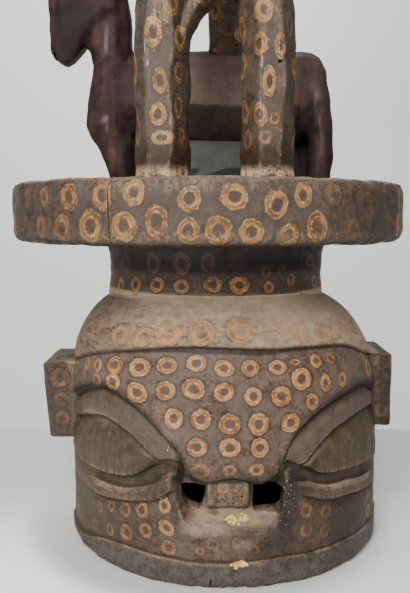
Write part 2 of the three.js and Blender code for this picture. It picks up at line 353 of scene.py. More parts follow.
def makePot(settings):
    columns = settings["columns"]
    turn = np.arange(columns) / columns
    circle = 360 * turn - settings["crowding"] * np.sin(2 * np.pi * turn)
    angle = np.where(circle > 180, circle - 360, circle)
    heights, outs = carvedRows(angle)
    flats = hewnRadius(np.radians(angle) % (2 * np.pi), settings["rimFacets"], random.Random(8))
    nearRim = fade(heights, 25, 30)
    radii = (potRadius(heights) + outs) * (1 + (flats[:, None] - 1) * (0.35 + 0.65 * nearRim))
    hollow = np.array(settings["cavity"], float)[None].repeat(columns, axis=0)
    hollowHeights, hollowRadii = [], []
    for k, count in enumerate(settings["cavityRows"]):
        t = np.arange(count) / count
        hollowHeights.append(lerp(hollow[:, k:k + 1, 0], hollow[:, k + 1:k + 2, 0], t))
        hollowRadii.append(lerp(hollow[:, k:k + 1, 1], hollow[:, k + 1:k + 2, 1], t))
    foot = hollow[:, -1:]
    closing = np.full((columns, 1), 242.0)
    heights = np.concatenate([*hollowHeights, foot[:, :, 0], heights, closing], axis=1)
    radii = np.concatenate([*hollowRadii, foot[:, :, 1], radii, closing * 0], axis=1)

    def place(column, row):
        height, radius = heights[column, row], radii[column, row]
        turned = np.radians(angle[column])
        across = axisAt(height) + radius * np.sin(turned)
        return np.stack([across, -radius * np.cos(turned), height], axis=1)

    return wrapGrid("pot", columns, heights.shape[1], place)


noseSettings = {
    "top": 99.0,
    "pitRadius": 138.0,
    "backPitRadius": 145.0,
    "x": (-0.5, 34.0),
    "foot": 69.0,
    # (x, z) outlines
    "leftHole": [(-23, 86), (-3, 86), (-1.5, 80), (-5, 66), (-8, 65), (-17, 68.5), (-22.5, 75)],
    "rightHole": [(38, 86.5), (61.5, 86.5), (63, 84), (62, 66), (59.5, 63.5), (39, 63.5), (37.2, 67)],
}


def prism(name, outline, low, high, across, bevel=0.0):  # an outline in mm pushed along X or Y
    bpy.ops.mesh.primitive_circle_add(vertices=len(outline), fill_type="NGON")
    piece = bpy.context.object
    piece.name = name
    flat = np.array(outline, float)
    level = np.full(len(flat), float(low))
    order = [level, flat[:, 0], flat[:, 1]] if across == "X" else [flat[:, 0], level, flat[:, 1]]
    setCoordinates(piece, np.stack(order, axis=1) * mm)
    push = np.array([high - low if across == axis else 0 for axis in "XYZ"]) * mm
    select(piece)
    bpy.ops.object.mode_set(mode="EDIT")
    bpy.ops.mesh.select_all(action="SELECT")
    bpy.ops.mesh.extrude_region_move(TRANSFORM_OT_translate={"value": tuple(push)})
    bpy.ops.mesh.select_all(action="SELECT")
    bpy.ops.mesh.normals_make_consistent(inside=False)
    if bevel:
        bpy.ops.mesh.bevel(offset=bevel * mm, segments=3, affect="EDGES")
    bpy.ops.object.mode_set(mode="OBJECT")
    return piece


def addNose(pot, settings, way, radius):  # way is -1 on the face and 1 behind
    low, top = settings["foot"], settings["top"]
    nose = [(radius - 6, low), (radius + 7, low), (radius + 11.5, low + 9), (radius + 14, low + 14),
            (radius + 15, top - 8), (radius + 11, top), (radius - 6, top)]
    boolean(pot, prism("nose", [(way * y, z) for y, z in nose], *settings["x"], "X", 2.5), "UNION")


def makeHelmet():
    piece = dress(makePot(potSettings), painted)
    addNose(piece, noseSettings, -1, noseSettings["pitRadius"])
    addNose(piece, noseSettings, 1, noseSettings["backPitRadius"])
    for hole in ("leftHole", "rightHole"):
        boolean(piece, prism(hole, noseSettings[hole], -185, -115, "Y", 1.0), "DIFFERENCE")
    return piece


mask = makeHelmet()
print("pot and face", len(mask.data.vertices))


# ear lugs, neck and platform

lugSettings = {
    "left": {"outer": -161.5, "foot": 92.0, "top": 168.0, "drawnIn": 5.0},
    "right": {"outer": 181.0, "foot": 104.0, "top": 176.0, "drawnIn": 0.5},
    "y": (-32.0, 42.0),
    "root": 138.0,  # from the pot's axis, inside its wall
    "bevel": 2.2,
}


def makeLug(name, settings, side):
    own = settings[name]
    root = potSettings["rimAxis"] + side * settings["root"]
    piece = beveledBox(name + "Lug", (min(root, own["outer"]), settings["y"][0], own["foot"]),
                       (max(root, own["outer"]), settings["y"][1], own["top"]), settings["bevel"])
    points = coordinates(piece) / mm
    outward = smoothstep(np.abs(points[:, 0] - root), 8, abs(own["outer"] - root))
    down = (own["top"] - points[:, 2]) / (own["top"] - own["foot"])
    points[:, 0] -= side * own["drawnIn"] * outward * down
    setCoordinates(piece, points * mm)
    return dress(applyModifier(piece, "REMESH", mode="VOXEL", voxel_size=2.4 * mm), painted)


neckSettings = {
    "columns": 220,
    "profile": [(0, 224), (106.5, 224), (106.5, 236), (104.5, 254), (105.5, 274), (110, 290), (0, 290)],
    "rows": [2, 3, 7, 7, 6, 2],
}

platformSettings = {
    "foot": 287.0,
    "top": 340.0,
    "radius": 188.5,
    "columns": 360,
    "facets": 27,
}


def turnedPiece(name, profile, counts, columns, axis, facets=0):  # turned from (radius, height) pairs
    corners = np.array(profile, float)
    rows = [corners[:1]]
    for k, count in enumerate(counts):
        t = (np.arange(1, count + 1) / count)[:, None]
        rows.append(lerp(corners[k], corners[k + 1], t))
    line = np.concatenate(rows)
    around = 2 * np.pi * np.arange(columns) / columns
    flats = hewnRadius(around, facets, random.Random(5)) if facets else np.ones(columns)

    def place(column, row):
        turned = around[column]
        radius, height = line[row, 0] * flats[column], line[row, 1]
        return np.stack([axis + radius * np.sin(turned), -radius * np.cos(turned), height], axis=1)

    return wrapGrid(name, columns, len(line), place)


def makePlatform(settings):
    r, foot, top = settings["radius"], settings["foot"], settings["top"]
    profile = [
        (0, foot), (r - 9, foot), (r - 5.5, foot + 1), (r - 2.5, foot + 3), (r - 0.7, foot + 6.5),
        (r, foot + 10), (r, top - 10), (r - 0.7, top - 6), (r - 2.5, top - 2.5), (r - 5, top - 0.8),
        (r - 9, top), (0, top),
    ]
    return turnedPiece("platform", profile, [5, 1, 1, 1, 1, 12, 1, 1, 1, 1, 8], settings["columns"], 0,
                       settings["facets"])


boolean(mask, makeLug("left", lugSettings, -1), "UNION")
boolean(mask, makeLug("right", lugSettings, 1), "UNION")
neck = turnedPiece("neck", neckSettings["profile"], neckSettings["rows"], neckSettings["columns"],
                   potSettings["neckAxis"])
boolean(mask, dress(neck, painted), "UNION")
boolean(mask, dress(makePlatform(platformSettings), painted), "UNION")
print("helmet and platform", len(mask.data.vertices))


# the two animals

def limb(stations, across, sides=40, steps=4, facets=8, seed=1, uneven=0.05):
    # a hewn limb or trunk through (x, y, z, half its width along across, half its other width), in mm
    spine = np.array(stations, float)
    places = np.arange(len(spine))
    fine = np.linspace(0, len(spine) - 1, steps * (len(spine) - 1) + 1)
    lines = np.stack([through(np.stack([places, spine[:, k]], axis=1))(fine) for k in range(5)], axis=1)
    centre = lines[:, :3]
    ahead = np.gradient(centre, axis=0)
    ahead /= np.linalg.norm(ahead, axis=1)[:, None]
    up = np.cross(ahead, across)
    up /= np.linalg.norm(up, axis=1)[:, None]
    over = np.cross(up, ahead)
    rng = random.Random(seed)
    facing = np.array([2 * np.pi * (i + rng.uniform(-2, 2) * uneven) / facets for i in range(facets)])
    knots = [np.array([rng.uniform(1 - uneven, 1 + uneven) for _ in places]) for _ in range(facets)]
    away = np.stack([through(np.stack([places, knot], axis=1))(fine) for knot in knots], axis=1)
    turned = 2 * np.pi * np.arange(sides) / sides
    toFlat = np.maximum(np.cos(turned[:, None] - facing), 0.15)
    reach = (away[:, None, :] / toFlat[None]).min(axis=2)  # along the limb, round it

    def place(column, row):
        k = np.clip(row - 1, 0, len(fine) - 1)
        opened = ((row > 0) & (row < len(fine) + 1)).astype(float)[:, None]
        side = (over[k] * (np.cos(turned[column]) * reach[k, column] * lines[k, 3])[:, None]
                + up[k] * (np.sin(turned[column]) * reach[k, column] * lines[k, 4])[:, None])
        return centre[k] + opened * side

    return wrapGrid("limb", sides, len(fine) + 2, place)


def egg(centre, halves):
    bpy.ops.mesh.primitive_uv_sphere_add(segments=32, ring_count=20, radius=1)
    piece = bpy.context.object
    setCoordinates(piece, (np.array(centre) + coordinates(piece) * np.array(halves)) * mm)
    return piece


def melt(name, pieces, voxel, smoothing):  # several forms into one skin
    select(*pieces)
    bpy.ops.object.join()
    piece = bpy.context.object
    piece.name = name
    applyModifier(piece, "REMESH", mode="VOXEL", voxel_size=voxel * mm)
    applyModifier(piece, "SMOOTH", factor=0.5, iterations=smoothing)
    return piece


alongX, alongY = np.array([1.0, 0, 0]), np.array([0, 1.0, 0])

leopardSettings = {
    "hindX": (-36.5, 47.5),
    "hindY": -136.0,
    "foreX": (-36.5, 21.0),
    "half": 21.5,
    "top": 478.0,
    "standsOn": 340.0,
    "voxel": 3.2,
}

antelopeSettings = {
    "y": 20.0,
    "back": 472.0,
    "belly": 385.0,
    "head": [
        (-155.5, 470), (-152, 465.5), (-146.5, 462.5), (-140.5, 459.5), (-131.5, 465), (-122.5, 477),
        (-116, 490), (-104, 502), (-88, 510), (-86, 540), (-92, 575), (-104, 598), (-126, 606),
        (-143, 588), (-150.5, 556), (-154, 523), (-155, 494),
    ],
    "jaw": [(-152.5, 455), (-147.5, 455), (-150.5, 476)],  # (x, z) of the slit between the lips
    "flank": [(-40, 417), (-15, 417), (13, 382.5), (13, 340), (-40, 340)],  # (y, z) under its belly
    "voxel": 3.2,
}


def makeLeopard(own, back, backY):
    hindY, stand, top, half = own["hindY"], own["standsOn"], own["top"], own["half"]
    parts, legs = [], []
    for i, x in enumerate(own["hindX"]):
        legs.append(limb([
            (x, hindY, stand - 4, half + 0.5, 25), (x, hindY, stand + 4, half, 24),
            (x, hindY, stand + 22, half - 0.5, 23.5), (x, hindY, stand + 45, half - 1, 23.5),
            (x, hindY, stand + 72, half, 24), (x, hindY, 440, half, 24),
            (x * 0.97, hindY + 2, top - 14, half, 26), (x * 0.93, hindY + 14, top + 20, half - 3, 24),
        ], alongX, sides=64, steps=5, seed=3 + i, uneven=0.055))
        parts.append(egg((x * 0.9, hindY + 22, top + 36), (26, 42, 47)))
    parts.append(limb([
        (-24, hindY, 442, 7, 19), (-17.5, hindY, 458, 8, 19), (-10, hindY, 474, 10, 19),
        (2, hindY, 490, 14, 20),
    ], alongX, sides=24))
    for x in own["foreX"]:
        parts.append(limb([
            (x, backY + 2, back - 10, 22, 21),
            (x, backY + 3, back + 8, 19.5, 19),
            (x, backY + 8, 535, 21, 22),
            (x * 0.9, backY + 18, 575, 22, 26),
        ], alongX))
    parts.append(limb([
        (5, -158, 512, 30, 22), (5, -140, 520, 56, 43), (4, -96, 532, 58, 44), (2, -44, 545, 49, 37),
        (0, 8, 560, 49, 39), (-3, 48, 580, 53, 43), (-5, 84, 604, 45, 39), (-7, 108, 628, 36, 33),
        (-8, 122, 642, 28, 26),
    ], alongX, sides=48, facets=10))
    parts.append(limb([
        (5, -150, 520, 11, 11), (5, -170, 541, 10, 10), (5, -161, 566, 10, 10), (6, -128, 573, 10, 9),
        (8, -84, 579, 9, 9), (4, -44, 586, 9, 9), (-12, -22, 592, 8, 8),
    ], alongX, sides=24))
    parts.append(egg((-8, 130, 650), (40, 38, 35)))
    parts.append(limb([(-8, 138, 646, 31, 25), (-8, 164, 642, 27, 21), (-8, 180, 640, 20, 15)], alongX))
    for side in (-1, 1):
        parts.append(limb([
            (-8 + 26 * side, 120, 668, 15, 9), (-8 + 32 * side, 116, 690, 12, 7),
            (-8 + 34 * side, 113, 705, 5, 4),
        ], alongX, sides=20))
    leopard = melt("leopard", parts, own["voxel"], 1)
    for leg in legs:
        boolean(leopard, leg, "UNION")
    boolean(leopard, beveledBox("mouth", (-48, 158, 632), (32, 190, 637), 1.2), "DIFFERENCE")
    return leopard


def makeAntelope(own):
    y, back, belly = own["y"], own["back"], own["belly"]
    middle, deep = (back + belly) / 2, (back - belly) / 2
    parts = [limb([
        (119, y, 430, 5, 8), (117.5, y, 430, 17, 25), (114.5, y, 430, 22, 31.5),
        (108.5, y, 430, 27, 39.5), (99, y, 429, 31, 42.5), (86, y, middle, 34, deep - 1),
        (40, y, middle, 34, deep), (-20, y, middle, 33, deep), (-72, y, middle, 31, deep - 3),
        (-98, y, middle - 2, 28, 34), (-106.5, y, middle - 4, 18, 24), (-112, y, middle - 5, 8, 10),
    ], alongY, sides=48, facets=10, seed=11, uneven=0.03)]
    parts.append(limb([
        (-89, y, 425, 24, 21), (-91.5, y, 452, 22, 19.5), (-96, y, 475, 20, 20.5), (-100, y, 510, 18, 21.5),
        (-107, y, 545, 18, 21), (-118, y, 575, 16, 18),
    ], alongY, seed=12))
    head = prism("head", own["head"], y - 24, y + 24, "Y", 6)
    points = coordinates(head) / mm
    points[:, 1] = y + (points[:, 1] - y) * lerp(0.5, 1.0, smoothstep(points[:, 2], 455, 525))
    setCoordinates(head, points * mm)
    parts.append(head)
    for side in (-1, 1):
        parts.append(limb([
            (-126, y + 9 * side, 590, 7, 8), (-112, y + 13 * side, 622, 6, 7),
            (-90, y + 18 * side, 650, 5, 5.5), (-66, y + 21 * side, 664, 3, 3.5),
        ], alongY, sides=20))
        parts.append(limb([
            (-106, y + 18 * side, 578, 9, 6), (-92, y + 29 * side, 582, 9, 5),
            (-80, y + 35 * side, 584, 4, 3),
        ], alongY, sides=16))
    for side in (-16, 16):
        parts.append(limb([
            (-95, y + side * 0.7, 458, 14, 17), (-96, y + side, 436, 15.5, 18.5),
            (-98, y + side, 414, 16, 19.5), (-98, y + side, 399, 16, 21),
            (-92.5, y + side, 385, 14.5, 18.5), (-86.5, y + side, 362, 13.5, 14),
            (-84.5, y + side, 346, 13.5, 13), (-83.5, y + side, 336, 13.5, 13),
        ], alongY, seed=14))
        shift = 0 if side < 0 else -14
        parts.append(limb([
            (95 + shift, y + side * 0.7, 450, 14, 21), (100 + shift, y + side, 430, 19, 19.5),
            (106.5 + shift, y + side, 411, 17.5, 15.5), (111.5 + shift, y + side, 395, 15, 12.5),
            (112.5 + shift, y + side, 371, 13.5, 12), (112 + shift, y + side, 350, 12.5, 11),
            (112 + shift, y + side, 336, 12.5, 11),
        ], alongY, seed=15))
    antelope = melt("antelope", parts, own["voxel"], 1)
    boolean(antelope, prism("flank", own["flank"], -66, 90, "X", 1.5), "DIFFERENCE")
    boolean(antelope, prism("jaw", own["jaw"], y - 40, y + 40, "Y"), "DIFFERENCE")
    for side in (-1, 1):
        boolean(antelope, egg((-122, y + 23 * side, 562), (9, 4, 5.5)), "UNION")
    return antelope


leopard = dress(makeLeopard(leopardSettings, antelopeSettings["back"], antelopeSettings["y"]), painted)
antelope = dress(makeAntelope(antelopeSettings), stained)
support = dress(prism("support", [(2, 336), (2, 381.5), (12.5, 381.5), (12.5, 393), (38, 393), (38, 336)],
                      -60, 62, "X", 2), dusty)
leopardPoints = [(v.co.copy(), v.normal.copy()) for v in leopard.data.vertices]
print("animals", len(leopard.data.vertices), len(antelope.data.vertices))
for piece in (support, antelope, leopard):
    boolean(mask, piece, "UNION")
print("joined", len(mask.data.vertices), "vertices")


# wear: splits, wormholes, chips and the unevenness of hand carving

wearSettings = {
    "splits": [  # angle from the front, low and high end, width and depth, on the platform's edge
        (-23.8, 285, 342, 1.1, 9), (33.5, 286, 326, 0.9, 7), (36.0, 300, 342, 0.8, 6),
        (78.0, 288, 336, 1.4, 8), (-118.0, 300, 342, 1.2, 8), (150.0, 285, 330, 1.2, 10),
    ],
    "rimSplits": [(22.6, -1, 12, 1.0, 7), (-5.5, -1, 9, 1.2, 6), (96.0, -1, 15, 1.4, 9)],
    # pixels of the photograph
    "wormholes": [(280, 46), (280, 61), (237, 45), (215, 401), (210.5, 413), (242, 497), (233, 503)],
    "wormRadius": 1.0,
    "layers": [  # texture, its size, its depth in mm, and whether only the hewn parts take it
        ("CLOUDS", 40, 1.6, ""),
        ("VORONOI", 19, 2.2, "hewn"),
        ("VORONOI", 11, 0.5, ""),
        ("CLOUDS", 5, 0.5, ""),
    ],
    "topChips": 3.2,  # deepest bite from the platform's top edge, mm
    "rimChips": 3.0,
    "lowTop": (24.0, 62.0, 2.0),  # between these angles the top edge is worn lower still, by so much
}


def splitCutter(axis, radius, angle, low, high, width, depth):  # a thin wavering wedge towards the axis
    turned = math.radians(angle)
    out = np.array([math.sin(turned), -math.cos(turned), 0])
    side = np.array([math.cos(turned), math.sin(turned), 0])
    last = 8

    def place(column, row):
        t = np.clip((row - 1) / (last - 2), 0, 1)[:, None]
        ends = np.where((row > 0) & (row < last), 1.0, 0.0)[:, None]
        middle = np.array([axis, 0.0, 0.0]) + out * radius + np.array([0, 0, 1.0]) * lerp(low, high, t)
        middle = middle + side * (0.8 * np.sin(5.0 * t + angle) + 1.5 * (t - 0.5))
        reach = np.array([-depth, 6.0, 6.0])[column][:, None]
        across = np.array([0.0, -0.8, 0.8])[column][:, None]
        return middle + ends * (out * reach + side * across * width)

    return wrapGrid("split", 3, last + 1, place)


def surfaceTree(piece):
    return BVHTree.FromPolygons([v.co.copy() for v in piece.data.vertices],
                                [tuple(f.vertices) for f in piece.data.polygons])


def seenAt(tree, column, row):  # where the surface shows at that pixel of the photograph
    pitch = math.radians(cameraSettings["pitchDown"])
    wide, tall = cameraSettings["photoPixels"]
    right = (column - wide / 2) / cameraSettings["focalPixels"]
    up = (tall / 2 - row) / cameraSettings["focalPixels"]
    ahead = Vector((0, math.cos(pitch), -math.sin(pitch)))
    over = Vector((0, math.sin(pitch), math.cos(pitch)))
    ray = (ahead + Vector((right, 0, 0)) + over * up).normalized()
    return tree.ray_cast(Vector(cameraSettings["place"]) * mm, ray)[0]


def lumps(points):  # keeps the shape of each chip the same whatever the mesh
    return np.array([noise.noise(Vector(p)) for p in points])


def chipEdges(piece, settings):
    points = coordinates(piece) / mm
    radius = np.hypot(points[:, 0], points[:, 1])
    turned = np.degrees(np.arctan2(points[:, 0], -points[:, 1]))
    low, high, extra = settings["lowTop"]
    top = np.flatnonzero((points[:, 2] > 322) & (points[:, 2] < 341) & (radius > 170))
    near = smoothstep(radius[top], 176, 187) * smoothstep(points[top, 2], 328, 338)
    bite = np.clip(lumps(points[top] / 13) * 1.4 + lumps(points[top] / 5) * 0.6, 0, 1)
    bite *= settings["topChips"]
    bite += extra * smoothstep(turned[top], low, low + 8) * fade(turned[top], high - 8, high)
    points[top, 2] -= bite * near
    points[top, :2] *= (1 - 0.5 * bite * near / radius[top])[:, None]
    foot = np.flatnonzero((points[:, 2] < 12) & (radius > 145))
    near = fade(points[foot, 2], 2, 12)
    bite = np.clip(lumps(points[foot] / 11) * 1.5 + lumps(points[foot] / 4) * 0.5 - 0.15, 0, 1)
    points[foot, 2] += bite * near * settings["rimChips"]
    setCoordinates(piece, points * mm)


def groupHewn(piece):  # how strongly each part shows the adze
    points = coordinates(piece) / mm
    group = piece.vertex_groups.new(name="hewn")
    height = points[:, 2]
    strength = np.where(height > 341, 1.0, np.where(height > 286, 0.55, np.where(height < 25, 0.5, 0.2)))
    for level in np.unique(strength):
        group.add(np.flatnonzero(strength == level).tolist(), float(level), "REPLACE")


def wear(piece, settings):
    for axis, radius, splits in ((0, platformSettings["radius"], settings["splits"]),
                                 (potSettings["rimAxis"], potSettings["rimRadius"], settings["rimSplits"])):
        for split in splits:
            boolean(piece, dress(splitCutter(axis, radius, *split), raw), "DIFFERENCE")
    tree = surfaceTree(piece)
    for column, row in settings["wormholes"]:
        bpy.ops.mesh.primitive_cylinder_add(
            vertices=8, radius=settings["wormRadius"] * mm, depth=0.012,
            location=seenAt(tree, column, row), rotation=(math.pi / 2 + 0.2, 0, 0.2))
        boolean(piece, dress(bpy.context.object, raw), "DIFFERENCE")
    chipEdges(piece, settings)
    groupHewn(piece)
    edges = relief(piece, 14)
    for layer in settings["layers"]:
        roughen(piece, *layer)
    low, high = (np.array(corner) for corner in cadBounds)
    setCoordinates(piece, np.clip(coordinates(piece), low + 0.05 * mm, high - 0.05 * mm))
    return edges


def relief(piece, rounds):  # how far each vertex stands proud of its surroundings, in mm
    edges = np.empty(len(piece.data.edges) * 2, int)
    piece.data.edges.foreach_get("vertices", edges)
    a, b = edges.reshape(-1, 2).T
    total = len(piece.data.vertices)
    count = np.maximum(np.bincount(a, minlength=total) + np.bincount(b, minlength=total), 1)
    start = coordinates(piece)
    smooth = start.copy()
    for _ in range(rounds):
        around = np.stack([np.bincount(a, smooth[b, k], total) + np.bincount(b, smooth[a, k], total)
                           for k in range(3)], axis=1)
        smooth = (smooth + around / count[:, None]) / 2
    normals = np.empty(total * 3)
    piece.data.vertices.foreach_get("normal", normals)
    return ((start - smooth) * normals.reshape(-1, 3)).sum(axis=1) / mm


edgeRelief = wear(mask, wearSettings)
mask.name = "epa_mask_carving"
print("worn", sum(len(face.vertices) - 2 for face in mask.data.polygons), "triangles")


# the painted rings

ringSettings = {
    "disc": [  # on the platform's edge: (angle, height, wide, tall, strength)
        (-54, 325, 18, 20, 0.3), (-45, 326, 15, 18, 0.5), (-35.4, 325, 20, 23, 0.8),
        (-25.6, 326, 18, 24, 0.75), (-17.2, 328, 18, 21, 0.9), (-4.3, 322.6, 18.5, 20, 1),
        (5.9, 324.3, 22, 20.5, 1), (15.8, 319, 20.5, 23, 0.9), (22.5, 326, 16, 21, 0.8),
        (31, 327, 18, 18, 0.35), (-56, 300, 16, 22, 0.3), (-47, 301.5, 19, 21, 0.5),
        (-38, 300.5, 20, 24, 0.75), (-29, 302, 21, 27, 1), (-19.8, 302.3, 22, 24, 1),
        (-11.9, 306, 18.5, 26, 0.95), (-4.6, 299.3, 18.5, 20, 1), (2.2, 299.6, 21, 23.5, 1),
        (9.9, 298.3, 21, 20, 0.95), (19, 296, 18, 19, 0.85), (26.4, 302.2, 18.5, 26, 0.9),
        (38, 300, 15, 20, 0.35), (46, 318, 16, 18, 0.25), (55, 304, 16, 20, 0.25),
    ],
    "neck": [
        (-51.8, 268, 14, 17, 0.5), (-32, 270, 16.5, 20, 0.55), (-17.1, 270, 18.6, 22, 0.5),
        (-4.3, 271, 14, 19, 0.5), (9.8, 270, 16, 18, 0.2), (24, 262, 11, 12, 0.4), (33, 263, 9, 12, 0.3),
        (-57.7, 246, 12, 17, 0.8), (-43.9, 249, 14, 16, 0.8), (-30.1, 250, 15.5, 14, 1),
        (-17.2, 249.5, 14.5, 13, 1), (-1.9, 251.5, 17, 14.5, 1), (10.6, 251, 19, 16, 1),
        (25.7, 248.6, 11.5, 12, 0.7), (39.5, 254, 11, 13, 0.6), (50, 256, 10, 13, 0.3),
    ],
    "dome": [
        (-41.1, 207, 22, 22, 0.54), (-30.2, 208, 20, 20, 0.61), (-20, 211.4, 24, 22, 0.54),
        (-7.5, 213.2, 22, 25, 0.68), (7, 215.2, 24, 24, 0.61), (20, 212, 20, 22, 0.34),
        (30.5, 211.9, 20, 20, 0.47), (42.3, 208, 22, 20, 0.54), (-32, 222, 18, 18, 0.27),
        (-14, 226, 18, 18, 0.27), (14, 228, 18, 18, 0.27),
    ],
    "face": [
        (-58.2, 176, 14, 12, 0.6), (-50, 179, 14.5, 13, 0.8), (-40.7, 182, 19.5, 16.5, 0.8),
        (-29.8, 183.5, 22, 17, 1), (-19.5, 187, 18.5, 14.4, 1), (-9.4, 190, 17.5, 14.4, 1),
        (-0.3, 186.5, 17, 14.4, 0.95), (8.4, 186.5, 15, 14.4, 1), (17.7, 186, 16.5, 12.8, 1),
        (24.5, 189, 11, 5.6, 0.8), (32.9, 188, 12.5, 13, 0.8), (40.1, 188, 10.5, 11, 0.7),
        (-50, 166, 16, 12.5, 0.7), (-41, 168, 19, 15, 0.9), (-30.4, 162.5, 22, 18, 1),
        (-19.7, 167, 18, 16.3, 1), (-10.6, 169.7, 19.9, 17.2, 1), (-0.9, 167.6, 17.3, 15.4, 1),
        (8.2, 164, 15, 15.4, 0.95), (17.6, 163, 18.5, 16.7, 1), (25.5, 175.6, 19.5, 19, 0.9),
        (35, 169.6, 12.5, 15.8, 0.7), (43.5, 169, 13, 14.1, 0.6), (-17.4, 144.2, 16.7, 17.9, 1),
        (-8.5, 145, 17.3, 17.9, 1), (0.5, 141.8, 18.3, 17.2, 1), (9.5, 141.2, 17.5, 18.8, 1),
        (20.1, 140, 17, 16.9, 0.95), (28.7, 155.5, 13.7, 15, 0.75), (-9.8, 122, 17, 16.5, 1),
        (0.3, 122.5, 18, 16, 0.95), (9.7, 121.8, 15.5, 16, 0.95), (18.1, 119.5, 13, 12.5, 0.3),
        (-8.6, 102.4, 16, 14, 0.45), (0.3, 103.5, 12, 10, 0.4), (8.6, 103.3, 13.6, 11, 0.7),
        (-1.7, 88.5, 11, 11, 0.45), (2.9, 88.5, 9, 9, 0.35), (-48.5, 50, 10, 12, 0.42),
        (-42.4, 55.4, 10, 11, 0.56), (-35.6, 57.2, 14.2, 14.2, 0.64), (-28.8, 61.5, 13.7, 15, 0.76),
        (-20.5, 69, 13.5, 14.5, 0.8), (-52, 31, 9, 12, 0.42), (-43, 33.5, 11, 13, 0.56),
        (-35.4, 37, 14.5, 16, 0.68), (-27.6, 43.6, 13, 15, 0.72), (-19.8, 49.7, 16, 14, 0.72),
        (-19.3, 32.2, 14.5, 15, 0.64), (25.6, 62.6, 13.4, 13.4, 0.44), (33.8, 57, 13, 13, 0.32),
        (25.8, 45.3, 13, 13, 0.36), (33.6, 40, 13, 12, 0.32), (-10, 50, 12, 11, 0.35),
        (-5, 40, 12, 14, 0.35), (-9, 33, 8, 8, 0.4), (3, 42, 12, 14, 0.3), (8, 34, 12, 10, 0.3),
        (28, 31, 11, 11, 0.28),
    ],
    "legs": [  # round each hind leg: (which leg, angle, height, wide, tall, strength)
        (0, -11, 448, 14, 24, 1), (0, 39, 444, 13, 19, 0.9), (0, 22, 468, 15, 20, 0.8),
        (0, 0, 412, 11.5, 20.5, 1), (0, 39, 419, 12, 17.5, 0.95), (0, -4, 387, 13.5, 18, 1),
        (0, 37, 394, 10, 19, 0.8), (0, 3, 369.5, 19, 12, 0.8), (0, 46, 372, 8, 16, 0.8),
        (0, -62, 425, 10, 30, 0.6), (0, -58, 376, 10, 26, 0.6), (0, -60, 460, 10, 22, 0.5),
        (1, -13, 464, 15, 21, 0.9), (1, -22, 439, 12.5, 19, 0.95), (1, 16, 438, 10, 20, 0.9),
        (1, -3, 412, 11, 25, 1), (1, -21, 387, 11, 21, 0.75), (1, 8, 384, 9, 10, 1),
        (1, -10, 370, 12, 12, 0.7), (1, -62, 452, 9, 22, 0.8), (1, -62, 425, 9, 20, 0.7),
        (1, -58, 390, 9, 20, 0.6), (1, -50, 368, 9, 18, 0.8), (1, 40, 455, 10, 22, 0.4),
    ],
    "lugs": [(-145, 152, 19, 19, 0.55), (-144, 131, 16, 15, 0.35), (-143, 112, 15, 15, 0.4),
             (169, 167, 14, 15, 0.3), (169, 144, 14, 15, 0.3), (171, 120, 14, 15, 0.3)],
    "bodySpacing": 25.0,
    "bodyTries": 6000,
    "bodyFrom": (345.0, 362.0),  # above the legs' lowest rings, and above the feet
    "reach": (30.0, 9.0),  # how far from its middle, and off its plane, a ring may be painted
}


def castFrom(tree, point, towards):
    return tree.ray_cast(Vector(point) * mm, Vector(towards))[:2]


def aroundAxis(tree, axis, angle, height, reach=260):
    turned = math.radians(angle)
    out = Vector((math.sin(turned), -math.cos(turned), 0))
    return castFrom(tree, Vector((axis[0], axis[1], height)) + out * reach, -out)


def unseenRings(settings, rng):  # the rows go on round the sides and the back, a little fainter
    def around(first, last, step, height, wide, tall, strength):
        angle = first
        while angle < last:
            yield (angle + rng.uniform(-1, 1), height + rng.uniform(-2, 2), wide * rng.uniform(0.85, 1.15),
                   tall * rng.uniform(0.85, 1.15), strength * rng.uniform(0.6, 1.2))
            angle += step * rng.uniform(0.93, 1.07)

    disc = [*around(64, 300, 8.2, 325, 18, 20, 0.7), *around(62, 298, 8.2, 301, 19, 21, 0.75)]
    neck = [*around(62, 296, 13.5, 250, 15, 14, 0.7), *around(55, 300, 13.5, 270, 15, 17, 0.5)]
    dome = [*around(54, 308, 11, 209, 21, 21, 0.35), *around(30, 320, 14, 225, 18, 18, 0.2)]
    face = [(180 - angle, height, wide, tall, strength * rng.uniform(0.6, 0.9))
            for angle, height, wide, tall, strength in settings["face"]]
    for first, last in ((62, 110), (245, 290)):
        face += [ring for height in (186, 167) for ring in around(first + 3, last, 8, height, 16, 16, 0.7)]
        face += [ring for height in (51, 34) for ring in around(first, last, 7.5, height, 14, 14, 0.7)]
    for first in (86, 266):
        face += [ring for height in (148, 130, 112, 94, 76)
                 for ring in around(first, first + 9, 8, height, 14, 15, 0.7)]
    return disc, neck, dome, face


